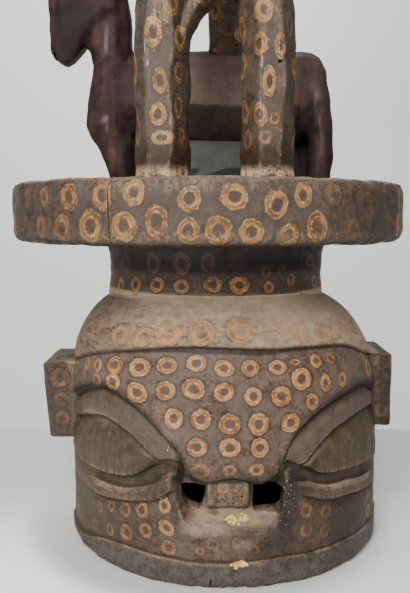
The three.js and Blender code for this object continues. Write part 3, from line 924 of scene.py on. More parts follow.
def placeRings(piece, settings, rng):
    tree = surfaceTree(piece)
    rings = []

    def add(hit, wide, tall, strength):
        point, normal = hit
        if point is None:
            return
        across = Vector((-normal.y, normal.x, 0))
        across = across.normalized() if across.length > 0.2 else Vector((1, 0, 0))
        rings.append((point, normal, across * (2 / wide / mm), normal.cross(across) * (2 / tall / mm),
                      strength, rng.random()))

    disc, neck, dome, face = unseenRings(settings, rng)
    for angle, height, *ring in settings["disc"] + disc:
        add(aroundAxis(tree, (0, 0), angle, height), *ring)
    for angle, height, *ring in settings["neck"] + neck:
        add(aroundAxis(tree, (potSettings["neckAxis"], 0), angle, height, 150), *ring)
    for angle, height, *ring in settings["dome"] + dome + settings["face"] + face:
        add(aroundAxis(tree, (float(axisAt(height)), 0), angle, height, 185), *ring)
    for leg, angle, height, *ring in settings["legs"]:
        axis = (leopardSettings["hindX"][leg], leopardSettings["hindY"])
        add(aroundAxis(tree, axis, angle, height, 34), *ring)
    for x, z, *ring in settings["lugs"]:
        add(castFrom(tree, (x, -120, z), (0, 1, 0)), *ring)
        add(castFrom(tree, (x, 120, z), (0, -1, 0)), *ring)
        for y in (-18, 6, 30):
            add(castFrom(tree, (math.copysign(240, x), y, z), (-math.copysign(1, x), 0, 0)), *ring)
    spacing = settings["bodySpacing"] * mm
    low, foot = (height * mm for height in settings["bodyFrom"])
    grown = [ring[0] for ring in rings if ring[0].z > low]
    for point, normal in rng.sample(leopardPoints, settings["bodyTries"]):  # the leopard's body
        if point.z > foot and all((point - other).length_squared > spacing ** 2 for other in grown):
            grown.append(point)
            add((point, normal), rng.uniform(13, 18), rng.uniform(15, 20), rng.uniform(0.6, 1))
    return rings


def readRings(piece, rings, settings):  # each face corner's place in its nearest ring, 1 at its edge
    tree = KDTree(len(rings))
    for i, ring in enumerate(rings):
        tree.insert(ring[0], i)
    tree.balance()
    reach, depth = (size * mm for size in settings["reach"])
    mesh = piece.data
    places, shades = np.full((len(mesh.loops), 3), 3.0), np.zeros(len(mesh.polygons))
    places[:, 2] = 0
    for face in mesh.polygons:
        best, chosen = 3.0, None
        for centre, i, distance in tree.find_n(face.center, 4):
            if distance > reach:
                break
            point, normal, across, over, strength, luck = rings[i]
            off = face.center - point
            here = math.hypot(off.dot(across), off.dot(over))
            if here < best and abs(off.dot(normal)) < depth and face.normal.dot(normal) > 0.1:
                best, chosen = here, i
        if chosen is None:
            continue
        point, normal, across, over, strength, luck = rings[chosen]
        shades[face.index] = luck
        for loop, vertex in zip(face.loop_indices, face.vertices):
            off = mesh.vertices[vertex].co - point
            places[loop] = off.dot(across), off.dot(over), strength
    attribute = mesh.attributes.new("ringPlace", "FLOAT_VECTOR", "CORNER")
    attribute.data.foreach_set("vector", places.astype(np.float32).ravel())
    attribute = mesh.attributes.new("ringShade", "FLOAT", "FACE")
    attribute.data.foreach_set("value", shades.astype(np.float32))


# other marks, as seen in the photograph: middle, width and height in pixels, and strength

markSettings = {
    "gold": [
        (231, 519.5, 15, 10, 1.7), (244, 517, 15, 8, 1.45), (238, 522, 14, 5, 1.1),
        (240.5, 565, 26, 7, 1.7), (235, 568, 12, 7, 1.1), (258, 563, 10, 3, 1.2), (223, 454, 5, 4, 1),
        (290, 417, 5, 6, 0.9), (162, 441, 5, 9, 0.8), (168, 449, 4, 8, 0.7), (153, 48, 9, 5, 1),
        (156, 127, 9, 6, 1), (184, 51, 6, 5, 0.8), (267, 54, 7, 5, 0.9), (278, 97, 6, 4, 0.7),
        (282, 126, 8, 5, 0.8), (157, 141, 14, 4, 0.7), (128, 188, 10, 5, 0.7), (163, 385, 5, 5, 0.6),
        (239, 198, 8, 3, 0.7),
    ],
    "paleWearAndHighlight": [  # rubbed and dusty on the face and the platform; painted highlights on the antelope's neck, knee, rump and hind leg
        (206, 531, 60, 22, 0.4), (246, 522, 30, 12, 0.2), (300, 81, 14, 3, 0.4), (310, 86, 10, 5, 0.4),
        (316, 96, 5, 14, 0.4), (228, 485, 22, 9, 0.4), (200, 181, 26, 6, 0.3), (105, 119, 5, 12, 0.6),
        (108, 128, 4, 10, 0.5), (105, 40, 9, 38, 0.3), (318, 122, 5, 14, 0.5), (316, 98, 9, 22, 0.3),
        (320, 150, 9, 60, 0.25), (244, 545, 22, 12, 0.3), (100, 415, 60, 14, 0.25),
        (170, 430, 22, 26, 0.15),
    ],
    "darkStainAndShade": [  # dark stains by the nose and a gouge; painted shade on the antelope's shaded legs, under its belly and on the right cheek; darker on the platform's right end, the right lug and the antelope's head
        (284, 540, 40, 60, 0.8), (266, 548, 34, 34, 0.7), (290, 516, 32, 44, 0.85),
        (262, 529, 40, 9, 0.3), (290, 500, 26, 100, 0.8), (300, 560, 60, 16, 0.45),
        (285, 490, 10, 46, 0.5), (203, 228, 9, 7, 0.9), (345, 520, 66, 66, 0.55),
        (255, 555, 60, 10, 0.4), (176, 470, 14, 16, 0.5), (372, 215, 90, 90, 0.2),
        (383, 385, 26, 90, 0.3), (215, 124, 150, 44, 0.15), (74, 30, 60, 80, 0.5),
        (340, 560, 50, 40, 0.35), (304, 156, 18, 50, 0.55), (130, 160, 16, 40, 0.6),
    ],
    "warmLitFacet": [(95, 38, 12, 24, 0.34), (112, 152, 10, 46, 0.3), (300, 99, 9, 28, 0.3)],  # painted light on the lit facets of the antelope's neck, foreleg and hind leg
    "pitted": [(287, 505, 22, 90, 1), (332, 545, 34, 16, 0.5), (236, 502, 26, 9, 0.5)],
}


def readMarks(piece, marks):
    tree = surfaceTree(piece)
    points = coordinates(piece)
    camera = Vector(cameraSettings["place"]) * mm
    values = np.zeros(len(points))
    for column, row, wide, tall, strength in marks:
        centre = seenAt(tree, column, row)
        if centre is None:
            print("no surface at", column, row)
            continue
        pixel = (centre.y - camera.y) / cameraSettings["focalPixels"]
        off = points - np.array(centre)
        here = np.sqrt((off[:, 0] / (wide / 2 * pixel)) ** 2 + (off[:, 2] / (tall / 2 * pixel)) ** 2
                       + (off[:, 1] / (40 * mm)) ** 2)
        values = np.maximum(values, strength * fade(here, 0.45, 1.15))
    return values


def setAttribute(piece, name, values):
    attribute = piece.data.attributes.new(name, "FLOAT", "POINT")
    attribute.data.foreach_set("value", np.asarray(values, np.float32))


weatherSettings = {  # heights, then radii or angles, between which each form of the mask lies
    "pot": (236, 160),
    "dustTop": 250,
    "lookouts": ((60, 92), (124, 136.5), 25),
    "nose": (97, 144, (-7.2, 8)),
    "lugs": ((88, 180), 156),
    "neck": (290, 125),
    "disc": ((286, 338.5), 130),
    "discTop": (290, 345),
    "legs": (25, 29),  # half widths in X and Y
    "standing": 338,
    "limbs": 343,
    "leopardBehind": -95,  # its hind legs lie in front of this Y
}


class Places:  # where each vertex of the mask lies, in mm and degrees
    def __init__(self, piece):
        self.points = coordinates(piece) / mm
        self.height = self.points[:, 2]
        self.along = self.points[:, 0]
        fromAxis = self.along - axisAt(self.height)
        self.radius = np.hypot(fromAxis, self.points[:, 1])
        self.angle = np.degrees(np.arctan2(fromAxis, -self.points[:, 1]))
        self.line = faceLineAngle(self.angle)
        self.away = np.abs(self.line)
        normals = np.empty(len(self.points) * 3)
        piece.data.vertices.foreach_get("normal", normals)
        self.side, self.back, self.up = normals.reshape(-1, 3).T
        top, reach = weatherSettings["pot"]
        self.onPot = (self.height < top) & (self.radius < reach)
        self.onDome = (self.height < weatherSettings["dustTop"]) & (self.radius < reach)
        self.hind = self.points[:, 1] < weatherSettings["leopardBehind"]


def within(value, low, high):
    return (value > low) & (value < high)


def setBare(piece, at):  # the strips of the face without rings, and the rim
    height, line = at.height, at.line
    foot, edge = lidFoot(line), plateEdge(line)
    band = smoothstep(height, foot - 2, foot) * fade(height, edge - 1, edge + 1)
    band *= smoothstep(faceRelief(at.angle), 0.05, 0.3) * smoothstep(at.away, 14, 17.5)
    rim = fade(height, rimLine(at.angle) - 1, rimLine(at.angle) + 1.5)
    setAttribute(piece, "rim", np.where(at.onPot, rim, 0))
    cheek = smoothstep(at.away, 17, 30) * fade(height, foot - 2, foot) * (height < 90) * 0.6
    band = np.maximum(band, cheek)
    setAttribute(piece, "bare", np.where(at.onPot, np.clip(np.maximum(band, rim), 0, 1), 0))
    brow = smoothstep(height, lashLine(line) - 1, lashLine(line) + 1)
    lid = fade(height, lidTop(line) - 1, lidTop(line) + 1.5) * 0.6 * (height > foot - 2)
    setAttribute(piece, "brow", np.where(at.onPot, band * np.maximum(brow, lid), 0))


def setDust(piece, at):
    height = at.height
    dome = smoothstep(height, capEdge(at.line) - 1, capEdge(at.line) + 5) * fade(height, 241, 243.5)
    top = smoothstep(at.up, 0.55, 0.9) * np.where(within(height, *weatherSettings["discTop"]), 0.45, 0.9)
    setAttribute(piece, "dust", np.maximum(np.where(at.onDome, dome, 0), top))


def setLimbs(piece, at):  # the leopard's worn feet, its faces turned to the front that the paint shows as lit, and the antelope's paler trunk
    height, points = at.height, at.points
    wide, deep = weatherSettings["legs"]
    legs = np.min([np.hypot((points[:, 0] - x) / wide, (points[:, 1] - leopardSettings["hindY"]) / deep)
                   for x in leopardSettings["hindX"]], axis=0)
    byLegs = fade(legs, 1.05, 1.25) * (height > weatherSettings["standing"])
    setAttribute(piece, "fringe", byLegs * fade(height, 343, 350))
    setAttribute(piece, "legFoot", byLegs * fade(height, 361, 369))
    # faces turned to the front, painted as lit
    setAttribute(piece, "front", smoothstep(-at.back, 0.72, 0.92) * (height > 284) * at.hind)
    # the trunk paler where it faces up or to the front: dust, and painted light; towards the rump, painted
    # light over the leg's shadow
    settledDustAndLight = smoothstep(-at.back, 0.2, 0.7) * smoothstep(at.up, -0.3, -0.1)
    settledDustAndLight = np.maximum(smoothstep(at.up, 0.2, 0.8), settledDustAndLight)
    length = smoothstep(at.along, -72, -40) * (1 - 0.8 * smoothstep(at.along, 74, 92))
    length *= fade(at.along, 104, 120)
    setAttribute(piece, "trunk", length * np.maximum(settledDustAndLight, 0.3))


def facePaintedShade(at):  # painted shade in the face's lines, hollows and corners and on the lower forehead; the cheeks darker towards the sides, the dome on its left
    height, line, away = at.height, at.line, at.away
    foot, edge, cap = lidFoot(line), plateEdge(line), capEdge(line)
    # painted shade under the forehead plate's edge and along the cap's edge
    lines = fade(height - edge, 1, 11) * smoothstep(height - edge, -2, 0.5) * faceRelief(at.angle)
    lines = np.maximum(lines, fade(np.abs(height - cap), 0.5, 2.5) * 0.9)
    cheek = smoothstep(height, 24, 28) * fade(height, foot - 4, foot)
    cheek *= lerp(0.12, 0.45, smoothstep(away, 14, 30))
    # the lower forehead darker: painted shade
    forehead = (height > edge) * fade(height, 112, 170) * 0.16
    dome = (height > cap) * fade(at.angle, -66, -16) * 0.6
    plates = (height > lashLine(line)) * (height < edge + 1) * fade(line, -40, -8) * 0.2
    corner = (height > foot) * (height < lashLine(line)) * fade(away, 26, 38)
    corner = corner * smoothstep(away, 17, 20) * 0.6
    # painted shade in the nose pit under the forehead and down its side walls
    pit = smoothstep(height, 66, 78) * fade(height, 98, 110) * fade(away, 18, 24) * 0.55
    walls = smoothstep(height, 44, 56) * fade(np.abs(away - 17.2), 0.8, 2.6) * fade(height, 98, 106) * 0.75
    top, reach, sides = weatherSettings["nose"]
    nose = within(at.angle, *sides) & (at.radius > reach) & (height < top)
    inner = np.where(nose, 0, np.maximum(pit, walls))
    return np.where(at.onPot, np.max([lines, cheek, forehead, dome, plates, corner, inner], axis=0), 0)


def setShadeAndDarkTone(piece, at):
    # painted shade, with a darker tone on the lugs, the platform and the leopard's hind legs
    height, radius = at.height, at.radius
    heights, reach = weatherSettings["lugs"]
    lugs = within(height, *heights) * (radius > reach) * np.where(at.angle < 0, 0.75, 0.85)
    # the neck: painted shadow under the platform, deepest towards its top
    neck = (0.52 + 0.48 * smoothstep(height, 252, 264)) * smoothstep(height, 241.5, 245)
    top, reach = weatherSettings["neck"]
    neck *= (height < top) * (radius < reach)
    turned = np.degrees(np.arctan2(at.points[:, 0], -at.points[:, 1]))
    # the platform: a darker tone, darker still towards its ends, with painted shade along its bottom edge
    disc = 0.42 + 0.32 * smoothstep(np.abs(turned), 14, 58) + 0.14 * smoothstep(-turned, 22, 34)
    disc += 0.9 * fade(height, 286, 292)
    heights, reach = weatherSettings["disc"]
    disc *= within(height, *heights) * (radius > reach)
    # the leopard's hind legs: a darker tone, with painted shade on their sides
    limbs = lerp(0.35, 0.85, smoothstep(np.abs(at.side), 0.3, 0.6))
    limbs *= (height > weatherSettings["limbs"]) * at.hind
    setAttribute(piece, "shadeAndDarkTone", np.max([facePaintedShade(at), neck, lugs, disc, limbs], axis=0))


def darkenHoles(piece, at):  # painted shade on the walls of the lookouts
    heights, radii, away = weatherSettings["lookouts"]
    holes = within(at.height, *heights) & within(at.radius, *radii)
    holes &= (at.away < away) & (at.points[:, 1] < 0)
    darkStainAndShade = np.empty(len(holes))
    piece.data.attributes["darkStainAndShade"].data.foreach_get("value", darkStainAndShade)
    piece.data.attributes["darkStainAndShade"].data.foreach_set("value", np.maximum(darkStainAndShade, holes * 1.0))


rng = random.Random(11)
rings = placeRings(mask, ringSettings, rng)
readRings(mask, rings, ringSettings)
setAttribute(mask, "proud", edgeRelief)
for name, marks in markSettings.items():
    setAttribute(mask, name, readMarks(mask, marks))
places = Places(mask)
for colouring in (setBare, setDust, setLimbs, setShadeAndDarkTone, darkenHoles):
    colouring(mask, places)
print("rings", len(rings))


def dressInside(piece, settings):  # the hollow keeps the bare wood
    middles = np.empty(len(piece.data.polygons) * 3)
    piece.data.polygons.foreach_get("center", middles)
    middles = middles.reshape(-1, 3) / mm
    finish = np.empty(len(middles), int)
    piece.data.polygons.foreach_get("material_index", finish)
    height = middles[:, 2]
    radius = np.hypot(middles[:, 0] - axisAt(height), middles[:, 1])
    hollow = (height < 208) & (radius < np.interp(height, *settings["hollow"]))
    under = height < 1.5
    piece.data.polygons.foreach_set("material_index", np.where(hollow | under, raw, finish))


dressInside(mask, potSettings)


# the finish

def srgb(*levels):
    def linear(level):
        level = level / 255
        return level / 12.92 if level <= 0.04045 else ((level + 0.055) / 1.055) ** 2.4
    return (*[linear(level) for level in levels], 1)


class Nodes:  # a material's node tree, built by short calls
    def __init__(self, material):
        self.material = material
        material.use_nodes = True
        self.tree = material.node_tree
        self.shader = self.tree.nodes["Principled BSDF"]
        self.place = self.add("ShaderNodeTexCoord").outputs["Object"]

    def add(self, kind, inputs=None, **settings):
        made = self.tree.nodes.new(kind)
        for key, value in settings.items():
            setattr(made, key, value)
        for socket, value in (inputs or {}).items():
            self.put(made.inputs[socket], value)
        return made

    def put(self, socket, value):
        if isinstance(value, bpy.types.NodeSocket):
            self.tree.links.new(value, socket)
        else:
            socket.default_value = value

    def noise(self, size, detail=3.0, stretch=(1, 1, 1)):  # size of its patches in mm
        turned = self.add("ShaderNodeMapping", {"Vector": self.place, "Scale": stretch})
        made = self.add("ShaderNodeTexNoise", {
            "Vector": turned.outputs[0], "Scale": 1 / (size * mm), "Detail": detail})
        return made.outputs["Fac"]

    def attribute(self, name):
        return self.add("ShaderNodeAttribute", attribute_name=name).outputs["Fac"]

    def span(self, value, low, high, to=(0.0, 1.0)):  # 0 below low and 1 above high, eased between
        made = self.add("ShaderNodeMapRange", {
            "Value": value, "From Min": low, "From Max": high, "To Min": to[0], "To Max": to[1]},
            interpolation_type="SMOOTHSTEP")
        return made.outputs["Result"]

    def maths(self, operation, a, b=0.0):
        return self.add("ShaderNodeMath", {0: a, 1: b}, operation=operation).outputs[0]

    def times(self, *values):
        total = values[0]
        for value in values[1:]:
            total = self.maths("MULTIPLY", total, value)
        return total

    def plus(self, *values):
        total = values[0]
        for value in values[1:]:
            total = self.maths("ADD", total, value)
        return total

    def worn(self, name, texture, low, high, shares):  # an attribute, broken up by a texture
        return self.times(self.attribute(name), self.span(texture, low, high, shares))

    def centred(self, value, depth):  # noise about nought, of that depth
        return self.maths("MULTIPLY", self.maths("SUBTRACT", value, 0.5), depth)

    def mix(self, share, a, b):
        return self.add("ShaderNodeMix", {0: share, 6: a, 7: b}, data_type="RGBA").outputs[2]

    def bump(self, height, depth, strength=1.0, onto=None):
        inputs = {"Height": height, "Distance": depth * mm, "Strength": strength}
        if onto is not None:
            inputs["Normal"] = onto
        return self.add("ShaderNodeBump", inputs).outputs[0]


paintSettings = {
    "ground": [(60, 46, 37), (114, 93, 78)],
    "violet": (98, 83, 75),
    "bare": [(58, 47, 34), (86, 71, 53)],
    "brow": (90, 75, 66),
    "rim": [(58, 52, 46), (90, 82, 75)],
    "dust": [(146, 123, 100), (164, 141, 116)],
    # painted light on the dome's dust
    "litTopDust": (189, 165, 139),
    "lines": (80, 72, 60),
    "remains": (186, 138, 98),
    "olive": (84, 66, 40),
    # painted sheen on faces turned to the front, and a little in the upper parts' tone
    "slate": (73, 66, 61),
    # dirt, and painted shade
    "dirtAndShade": (30, 23, 18),
    # painted shadow, near black
    "deepestShade": (6, 4, 3),
    # rubbed edges, and painted highlights
    "edge": (142, 114, 86),
    "ring": [(126, 80, 44), (186, 132, 80)],
    "discRing": [(120, 80, 44), (184, 132, 78)],
    "ringHeart": (74, 52, 38),
    "bright": (240, 206, 154),
    "gold": [(168, 118, 50), (240, 206, 130)],
    # pale specks, and painted highlights
    "paleSpeckAndHighlight": (196, 188, 178),
    "fringe": (190, 158, 128),
    "legFoot": (50, 31, 18),
    "paleWearAndHighlight": (168, 147, 130),
}


def paintWood(settings):
    n = Nodes(finishes[painted])
    colours = {key: [srgb(*c) for c in value] if isinstance(value, list) else srgb(*value)
               for key, value in settings.items()}
    broad, patch, fine, grit = n.noise(36), n.noise(9, 4), n.noise(2.6, 4), n.noise(1.0, 2)
    streak = n.noise(3.5, 3, (1, 1, 0.12))
    grain = n.plus(n.times(patch, 0.5), n.times(fine, 0.5))
    ground = n.mix(n.span(grain, 0.3, 0.7), *colours["ground"])
    ground = n.mix(n.times(n.span(broad, 0.44, 0.6), 0.5), ground, colours["violet"])
    woodGrain = n.plus(n.times(patch, 0.5), n.times(streak, 0.25), n.times(fine, 0.25))
    bareWood = n.mix(n.span(woodGrain, 0.36, 0.64), *colours["bare"])
    bareWood = n.mix(n.worn("brow", grain, 0.34, 0.56, (0.35, 0.8)), bareWood, colours["brow"])
    sideways, height = (n.add("ShaderNodeSeparateXYZ", {0: n.place}).outputs[k] for k in (0, 2))
    bareWood = n.mix(n.attribute("rim"), bareWood, n.mix(n.span(grain, 0.35, 0.65), *colours["rim"]))
    colour = n.mix(n.attribute("bare"), ground, bareWood)
    brushed = n.noise(5, 4, (0.25, 0.25, 1))
    dusted = n.mix(n.span(grain, 0.36, 0.6), *colours["dust"])
    dusted = n.mix(n.times(n.span(brushed, 0.47, 0.62), 0.65), dusted, colours["ground"][1])
    lines = n.noise(3.2, 4, (0.3, 0.3, 1))
    dusted = n.mix(n.times(n.span(lines, 0.52, 0.62), 0.75), dusted, colours["lines"])
    remains = n.span(n.noise(6, 3, (0.5, 0.5, 1)), 0.53, 0.62)
    dusted = n.mix(n.times(remains, 0.6), dusted, colours["remains"])
    # painted light: the dust lighter towards the dome's top and on its right side
    settledDustAndLight = n.plus(n.span(height, 0.205, 0.238, (0.0, 0.55)), n.span(sideways, 0.0, 0.09, (0.0, 0.35)))
    dusted = n.mix(settledDustAndLight, dusted, colours["litTopDust"])
    dust = n.worn("dust", n.plus(patch, n.centred(fine, 0.3)), 0.25, 0.6, (0.78, 0.96))
    colour = n.mix(dust, colour, dusted)
    # painted shade and the darker tone, near black where the shade is deepest, under the platform
    shadeAndDarkTone = n.worn("shadeAndDarkTone", grain, 0.3, 0.6, (0.96, 0.72))
    colour = n.mix(shadeAndDarkTone, colour, colours["dirtAndShade"])
    deepestShade = n.span(n.attribute("shadeAndDarkTone"), 0.84, 1.0, (0.0, 0.75))
    colour = n.mix(deepestShade, colour, colours["deepestShade"])
    upper = n.span(height, 0.284, 0.29)
    colour = n.mix(n.times(upper, n.span(n.noise(13, 3), 0.5, 0.64), 0.55), colour, colours["olive"])
    # painted light: faces turned to the front, on the platform and the leopard's hind legs, slate blue-grey
    # as lit; a little slate on all upper parts
    front = n.attribute("front")
    colour = n.mix(n.times(upper, n.span(n.noise(16, 4, (1, 1, 0.5)), 0.32, 0.56),
                           n.span(front, 0, 1, (0.1, 0.6))), colour, colours["slate"])
    # a ring: a slightly wavering band of brush strokes, brighter along its edges, round a darker heart
    across, over, strength = n.add("ShaderNodeSeparateXYZ", {
        0: n.add("ShaderNodeAttribute", attribute_name="ringPlace").outputs["Vector"]}).outputs[:3]
    luck = n.attribute("ringShade")
    here = n.maths("SQRT", n.plus(n.times(across, across), n.times(over, over)))
    free = n.plus(n.span(height, 0.284, 0.288, (0.42, 0.55)), n.span(height, 0.09, 0.07, (0.0, 0.25)))
    ragged = n.times(n.plus(n.centred(n.noise(9, 2), 1.0), n.centred(n.noise(3.4, 3), 0.55)), free)
    brush = n.add("ShaderNodeCombineXYZ", {
        0: n.times(across, 1.3), 1: n.times(over, 1.3), 2: n.plus(n.times(here, 7.0), n.times(luck, 60.0))})
    strokes = n.add("ShaderNodeTexNoise", {"Scale": 1.0, "Detail": 2.0, "Vector": brush.outputs[0]})
    strokes = strokes.outputs["Fac"]
    here = n.plus(here, n.times(ragged, n.maths("MINIMUM", here, 1.0)))
    band = n.times(n.span(here, 0.34, 0.54), n.span(here, 1.02, 0.85))
    worn = n.maths("MAXIMUM", n.span(grain, 0.34, 0.48), n.span(strength, 0.1, 0.8))
    band = n.times(band, worn, n.span(strength, 0.0, 0.9, (0.0, 0.95)),
                   n.span(strokes, 0.3, 0.5, (0.72, 1.0)))
    heart = n.times(n.span(here, 0.52, 0.36), strength, 0.4)
    outline = n.times(n.span(here, 0.93, 1.02), n.span(here, 1.3, 1.06), strength,
                      n.span(height, 0.284, 0.288, (0.45, 0.15)))
    innerRim = n.times(n.span(here, 0.46, 0.54), n.span(here, 0.68, 0.56))
    outerRim = n.times(n.span(here, 0.8, 0.88), n.span(here, 1.0, 0.92))
    rims = n.times(n.span(strength, 0.4, 0.9), n.maths("MAXIMUM", innerRim, outerRim))
    tone = n.plus(n.times(patch, 0.5), n.times(strokes, 0.5), n.centred(luck, 0.12))
    ringColour = n.mix(n.span(tone, 0.38, 0.62),
                       *[n.mix(upper, *pair) for pair in zip(colours["ring"], colours["discRing"])])
    ringColour = n.mix(n.times(rims, n.span(fine, 0.45, 0.66), 0.55), ringColour, colours["bright"])
    colour = n.mix(heart, colour, colours["ringHeart"])
    colour = n.mix(outline, colour, colours["dirtAndShade"])
    # the rings take the painted shade too, less where it is deepest
    colour = n.mix(n.times(band, n.span(deepestShade, 0.0, 1.0, (1.0, 0.5))), colour,
                   n.mix(n.times(shadeAndDarkTone, 0.85), ringColour, colours["dirtAndShade"]))
    # marks of use, with painted highlights and painted shade among them
    colour = n.mix(n.worn("paleWearAndHighlight", grain, 0.3, 0.6, (0.6, 1.0)), colour, colours["paleWearAndHighlight"])
    # dark stains, and painted shade
    colour = n.mix(n.worn("darkStainAndShade", grain, 0.3, 0.6, (1.0, 0.75)), colour, colours["dirtAndShade"])
    colour = n.mix(n.worn("legFoot", patch, 0.3, 0.6, (0.95, 0.6)), colour, colours["legFoot"])
    colour = n.mix(n.worn("fringe", grain, 0.38, 0.55, (0.2, 1.0)), colour, colours["fringe"])
    proud = n.attribute("proud")
    # proud edges lighter: rubbed wear, and painted highlight
    streaked = n.plus(n.times(streak, 0.6), n.times(fine, 0.4))
    rubbedAndHighlit = n.times(n.span(proud, 0.4, 1.5), n.span(streaked, 0.44, 0.6),
                     n.span(n.attribute("rim"), 0.0, 1.0, (0.5, 0.12)),
                     n.span(n.attribute("shadeAndDarkTone"), 0.35, 0.75, (1.0, 0.1)))
    colour = n.mix(rubbedAndHighlit, colour, colours["edge"])
    # painted shade in hollows and creases, weaker under dust
    colour = n.mix(n.times(n.span(n.plus(proud, n.centred(grain, 0.4)), -0.25, -1.1),
                           n.span(n.attribute("dust"), 0, 1, (0.7, 0.15))), colour, colours["dirtAndShade"])
    # painted highlights along the ridges of the leopard's legs
    ridgeHighlights = n.times(n.span(n.noise(1.5, 3, (1, 1, 0.03)), 0.56, 0.68),
                        n.span(n.noise(12, 2), 0.48, 0.6), front, n.span(proud, 0.0, 0.5, (0.25, 1.0)))
    colour = n.mix(n.times(ridgeHighlights, n.span(height, 0.35, 0.36, (0.0, 0.5))), colour, colours["paleSpeckAndHighlight"])
    specks = n.times(n.span(n.noise(1.7, 2), 0.66, 0.7), n.attribute("pitted"), 0.55)
    colour = n.mix(specks, colour, colours["paleSpeckAndHighlight"])
    colour = n.mix(n.times(n.span(grit, 0.6, 0.74), 0.4), colour, colours["dirtAndShade"])
    lightGrit = n.times(n.span(grit, 0.36, 0.26), n.span(patch, 0.45, 0.65), 0.3)
    colour = n.mix(lightGrit, colour, colours["edge"])
    fleck = n.span(n.plus(n.attribute("gold"), n.centred(n.noise(3.4, 4), 3.0)), 0.93, 1.07)
    shine = n.span(n.plus(n.times(fine, 0.6), n.times(grit, 0.4)), 0.4, 0.58)
    colour = n.mix(fleck, colour, n.mix(shine, *colours["gold"]))
    n.put(n.shader.inputs["Base Color"], colour)
    n.put(n.shader.inputs["Roughness"], n.plus(
        n.span(patch, 0.3, 0.7, (0.5, 0.72)), n.times(n.attribute("dust"), 0.2), n.times(band, -0.08)))
    n.put(n.shader.inputs["Specular IOR Level"], 0.28)
    surface = n.bump(streak, 0.4, 0.5)
    surface = n.bump(fine, 0.45, 0.9, surface)
    surface = n.bump(n.maths("MAXIMUM", band, fleck), 0.3, 1.0, surface)
    surface = n.bump(n.times(n.span(grit, 0.62, 0.7), n.attribute("pitted")), -1.0, 1.6, surface)
    n.put(n.shader.inputs["Normal"], surface)


plainSettings = {  # the finishes without rings: two tones, worn edges, painted shade in hollows, roughness
    # on the stain the trunk is paler with dust and painted light, and the warm marks are painted light on
    # lit facets
    "stained": {"tones": [(36, 22, 22), (60, 40, 38)], "edge": (84, 58, 48), "dirtAndShade": (11, 9, 8),
                "rough": (0.55, 0.75), "worn": 0.15, "paleWearAndHighlight": (150, 132, 122), "trunk": (150, 128, 117),
                "warmLitFacet": (128, 88, 62)},
    "dusty": {"tones": [(101, 104, 98), (119, 121, 114)], "edge": (120, 112, 98), "dirtAndShade": (40, 38, 33),
              "rough": (0.75, 0.9), "worn": 0.2, "paleWearAndHighlight": (150, 132, 122)},
    "raw": {"tones": [(62, 44, 30), (104, 78, 54)], "edge": (132, 104, 76), "dirtAndShade": (28, 21, 16),
            "rough": (0.75, 0.92), "worn": 0.5, "paleWearAndHighlight": (150, 132, 122)},
}


def plainWood(finish, settings):
    n = Nodes(finishes[finish])
    patch, fine, streak = n.noise(12, 4), n.noise(2.4, 4), n.noise(4, 3, (1, 1, 0.15))
    tone = n.plus(n.times(patch, 0.5), n.times(streak, 0.3), n.times(fine, 0.2))
    colour = n.mix(n.span(tone, 0.36, 0.64), *[srgb(*c) for c in settings["tones"]])
    if "trunk" in settings:
        # the trunk paler: dust, and painted light towards the rump
        colour = n.mix(n.worn("trunk", tone, 0.3, 0.6, (0.6, 0.9)), colour, srgb(*settings["trunk"]))
        # painted light on lit facets of the antelope's neck and legs
        colour = n.mix(n.worn("warmLitFacet", tone, 0.3, 0.6, (0.5, 1.0)), colour, srgb(*settings["warmLitFacet"]))
    proud = n.attribute("proud")
    colour = n.mix(n.times(n.span(proud, 0.3, 1.4), n.span(tone, 0.42, 0.6), settings["worn"]), colour,
                   srgb(*settings["edge"]))
    # painted shade in hollows and creases
    colour = n.mix(n.times(n.span(proud, -0.3, -1.2), 0.7), colour, srgb(*settings["dirtAndShade"]))
    # rubbed pale, and painted highlights on the antelope's lit facets
    colour = n.mix(n.times(n.attribute("paleWearAndHighlight"), n.span(streak, 0.35, 0.6)), colour, srgb(*settings["paleWearAndHighlight"]))
    # dark stains, and painted shade under the belly and on shaded legs
    colour = n.mix(n.attribute("darkStainAndShade"), colour, srgb(*settings["dirtAndShade"]))
    n.put(n.shader.inputs["Base Color"], colour)
    n.put(n.shader.inputs["Roughness"], n.span(tone, 0.35, 0.65, settings["rough"]))
    n.put(n.shader.inputs["Specular IOR Level"], 0.2)
    surface = n.bump(streak, 0.5, 0.6)
    n.put(n.shader.inputs["Normal"], n.bump(fine, 0.4, 0.8, surface))


paintWood(paintSettings)
for finish, name in ((stained, "stained"), (dusty, "dusty"), (raw, "raw")):
    plainWood(finish, plainSettings[name])
select(mask)
bpy.ops.object.shade_smooth_by_angle(angle=math.radians(34))
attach(mask, "root")
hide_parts(nodeName)
print("finished")


# the stage

stageSettings = {
    "table": {"ends": ((-3000, -2400), (3000, 288)), "colour": (215, 215, 211), "rough": 0.6, "glow": 1.5},
    "wall": {"y": 3400, "ends": ((-4500, -2200), (4500, 4000)), "colour": (225, 226, 221), "rough": 0.9,
             "glow": 0.72},
    "ambient": (0.3, 0.31, 0.33),
    "lights": [  # name, place, size, power, aim
        ("key", (-380, -1450, 1330), 1100, 47, (0, 0, 250)),
        ("wallLight", (0, 1400, 2600), 1800, 60, (0, 3400, 500)),
    ],
}


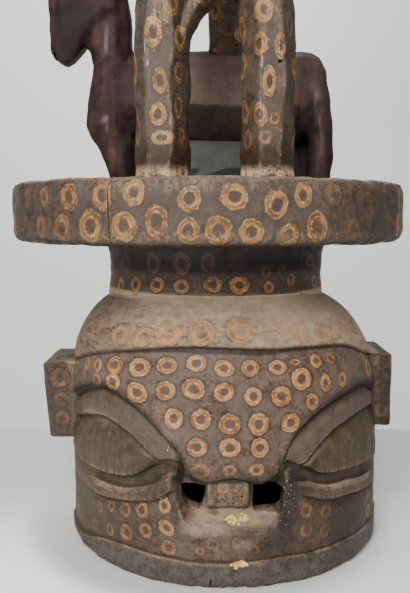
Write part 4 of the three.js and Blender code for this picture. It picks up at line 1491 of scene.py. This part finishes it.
def tableGlow(n, glow):  # lighter towards the front and the left, none near and under the mask
    x, y = n.add("ShaderNodeSeparateXYZ", {0: n.place}).outputs[:2]
    away = n.maths("SQRT", n.plus(n.times(x, x), n.times(y, y)))
    return n.times(n.span(y, 0.08, -0.17), n.span(x, 0.3, -0.3, (0.3, 1.05)), n.span(away, 0.16, 0.2), glow)


def wallGlow(n, glow):
    x, z = (n.add("ShaderNodeSeparateXYZ", {0: n.place}).outputs[k] for k in (0, 2))
    corner = n.times(n.span(x, -0.2, 1.1), n.span(z, 0.1, 1.1), -0.3)
    return n.times(n.plus(n.span(x, -0.6, 1.2, (1.0, 0.84)), corner), glow)


def plane(name, corners, colour, rough, glow, glowOver):
    bpy.ops.mesh.primitive_plane_add(size=1)
    piece = bpy.context.object
    piece.name = name
    setCoordinates(piece, np.array(corners, float) * mm)
    n = Nodes(bpy.data.materials.new(name))
    n.put(n.shader.inputs["Base Color"], srgb(*colour))
    n.put(n.shader.inputs["Roughness"], rough)
    n.put(n.shader.inputs["Emission Color"], srgb(*colour))
    n.put(n.shader.inputs["Emission Strength"], glowOver(n, glow))
    piece.data.materials.append(n.material)
    piece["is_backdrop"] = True


def addStage(settings):
    own = settings["table"]
    (x0, y0), (x1, y1) = own["ends"]
    plane("table", [(x0, y0, 0), (x1, y0, 0), (x0, y1, 0), (x1, y1, 0)], own["colour"], own["rough"],
          own["glow"], tableGlow)
    own = settings["wall"]
    (x0, z0), (x1, z1) = own["ends"]
    y = own["y"]
    plane("wall", [(x0, y, z0), (x1, y, z0), (x0, y, z1), (x1, y, z1)], own["colour"], own["rough"],
          own["glow"], wallGlow)
    world = bpy.data.worlds.new("world")
    bpy.context.scene.world = world
    world.use_nodes = True
    background = world.node_tree.nodes["Background"]
    background.inputs[0].default_value = (*settings["ambient"], 1)
    for name, place, size, power, aim in settings["lights"]:
        bpy.ops.object.light_add(type="AREA", location=Vector(place) * mm)
        light = bpy.context.object
        light.name = name
        light.data.shape = "DISK"
        light.data.size = size * mm
        light.data.energy = power
        light.rotation_euler = (Vector(aim) * mm - light.location).to_track_quat("-Z", "Y").to_euler()


addStage(stageSettings)

str([[list(corner) for corner in pair] for pair in (cadBounds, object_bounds())])
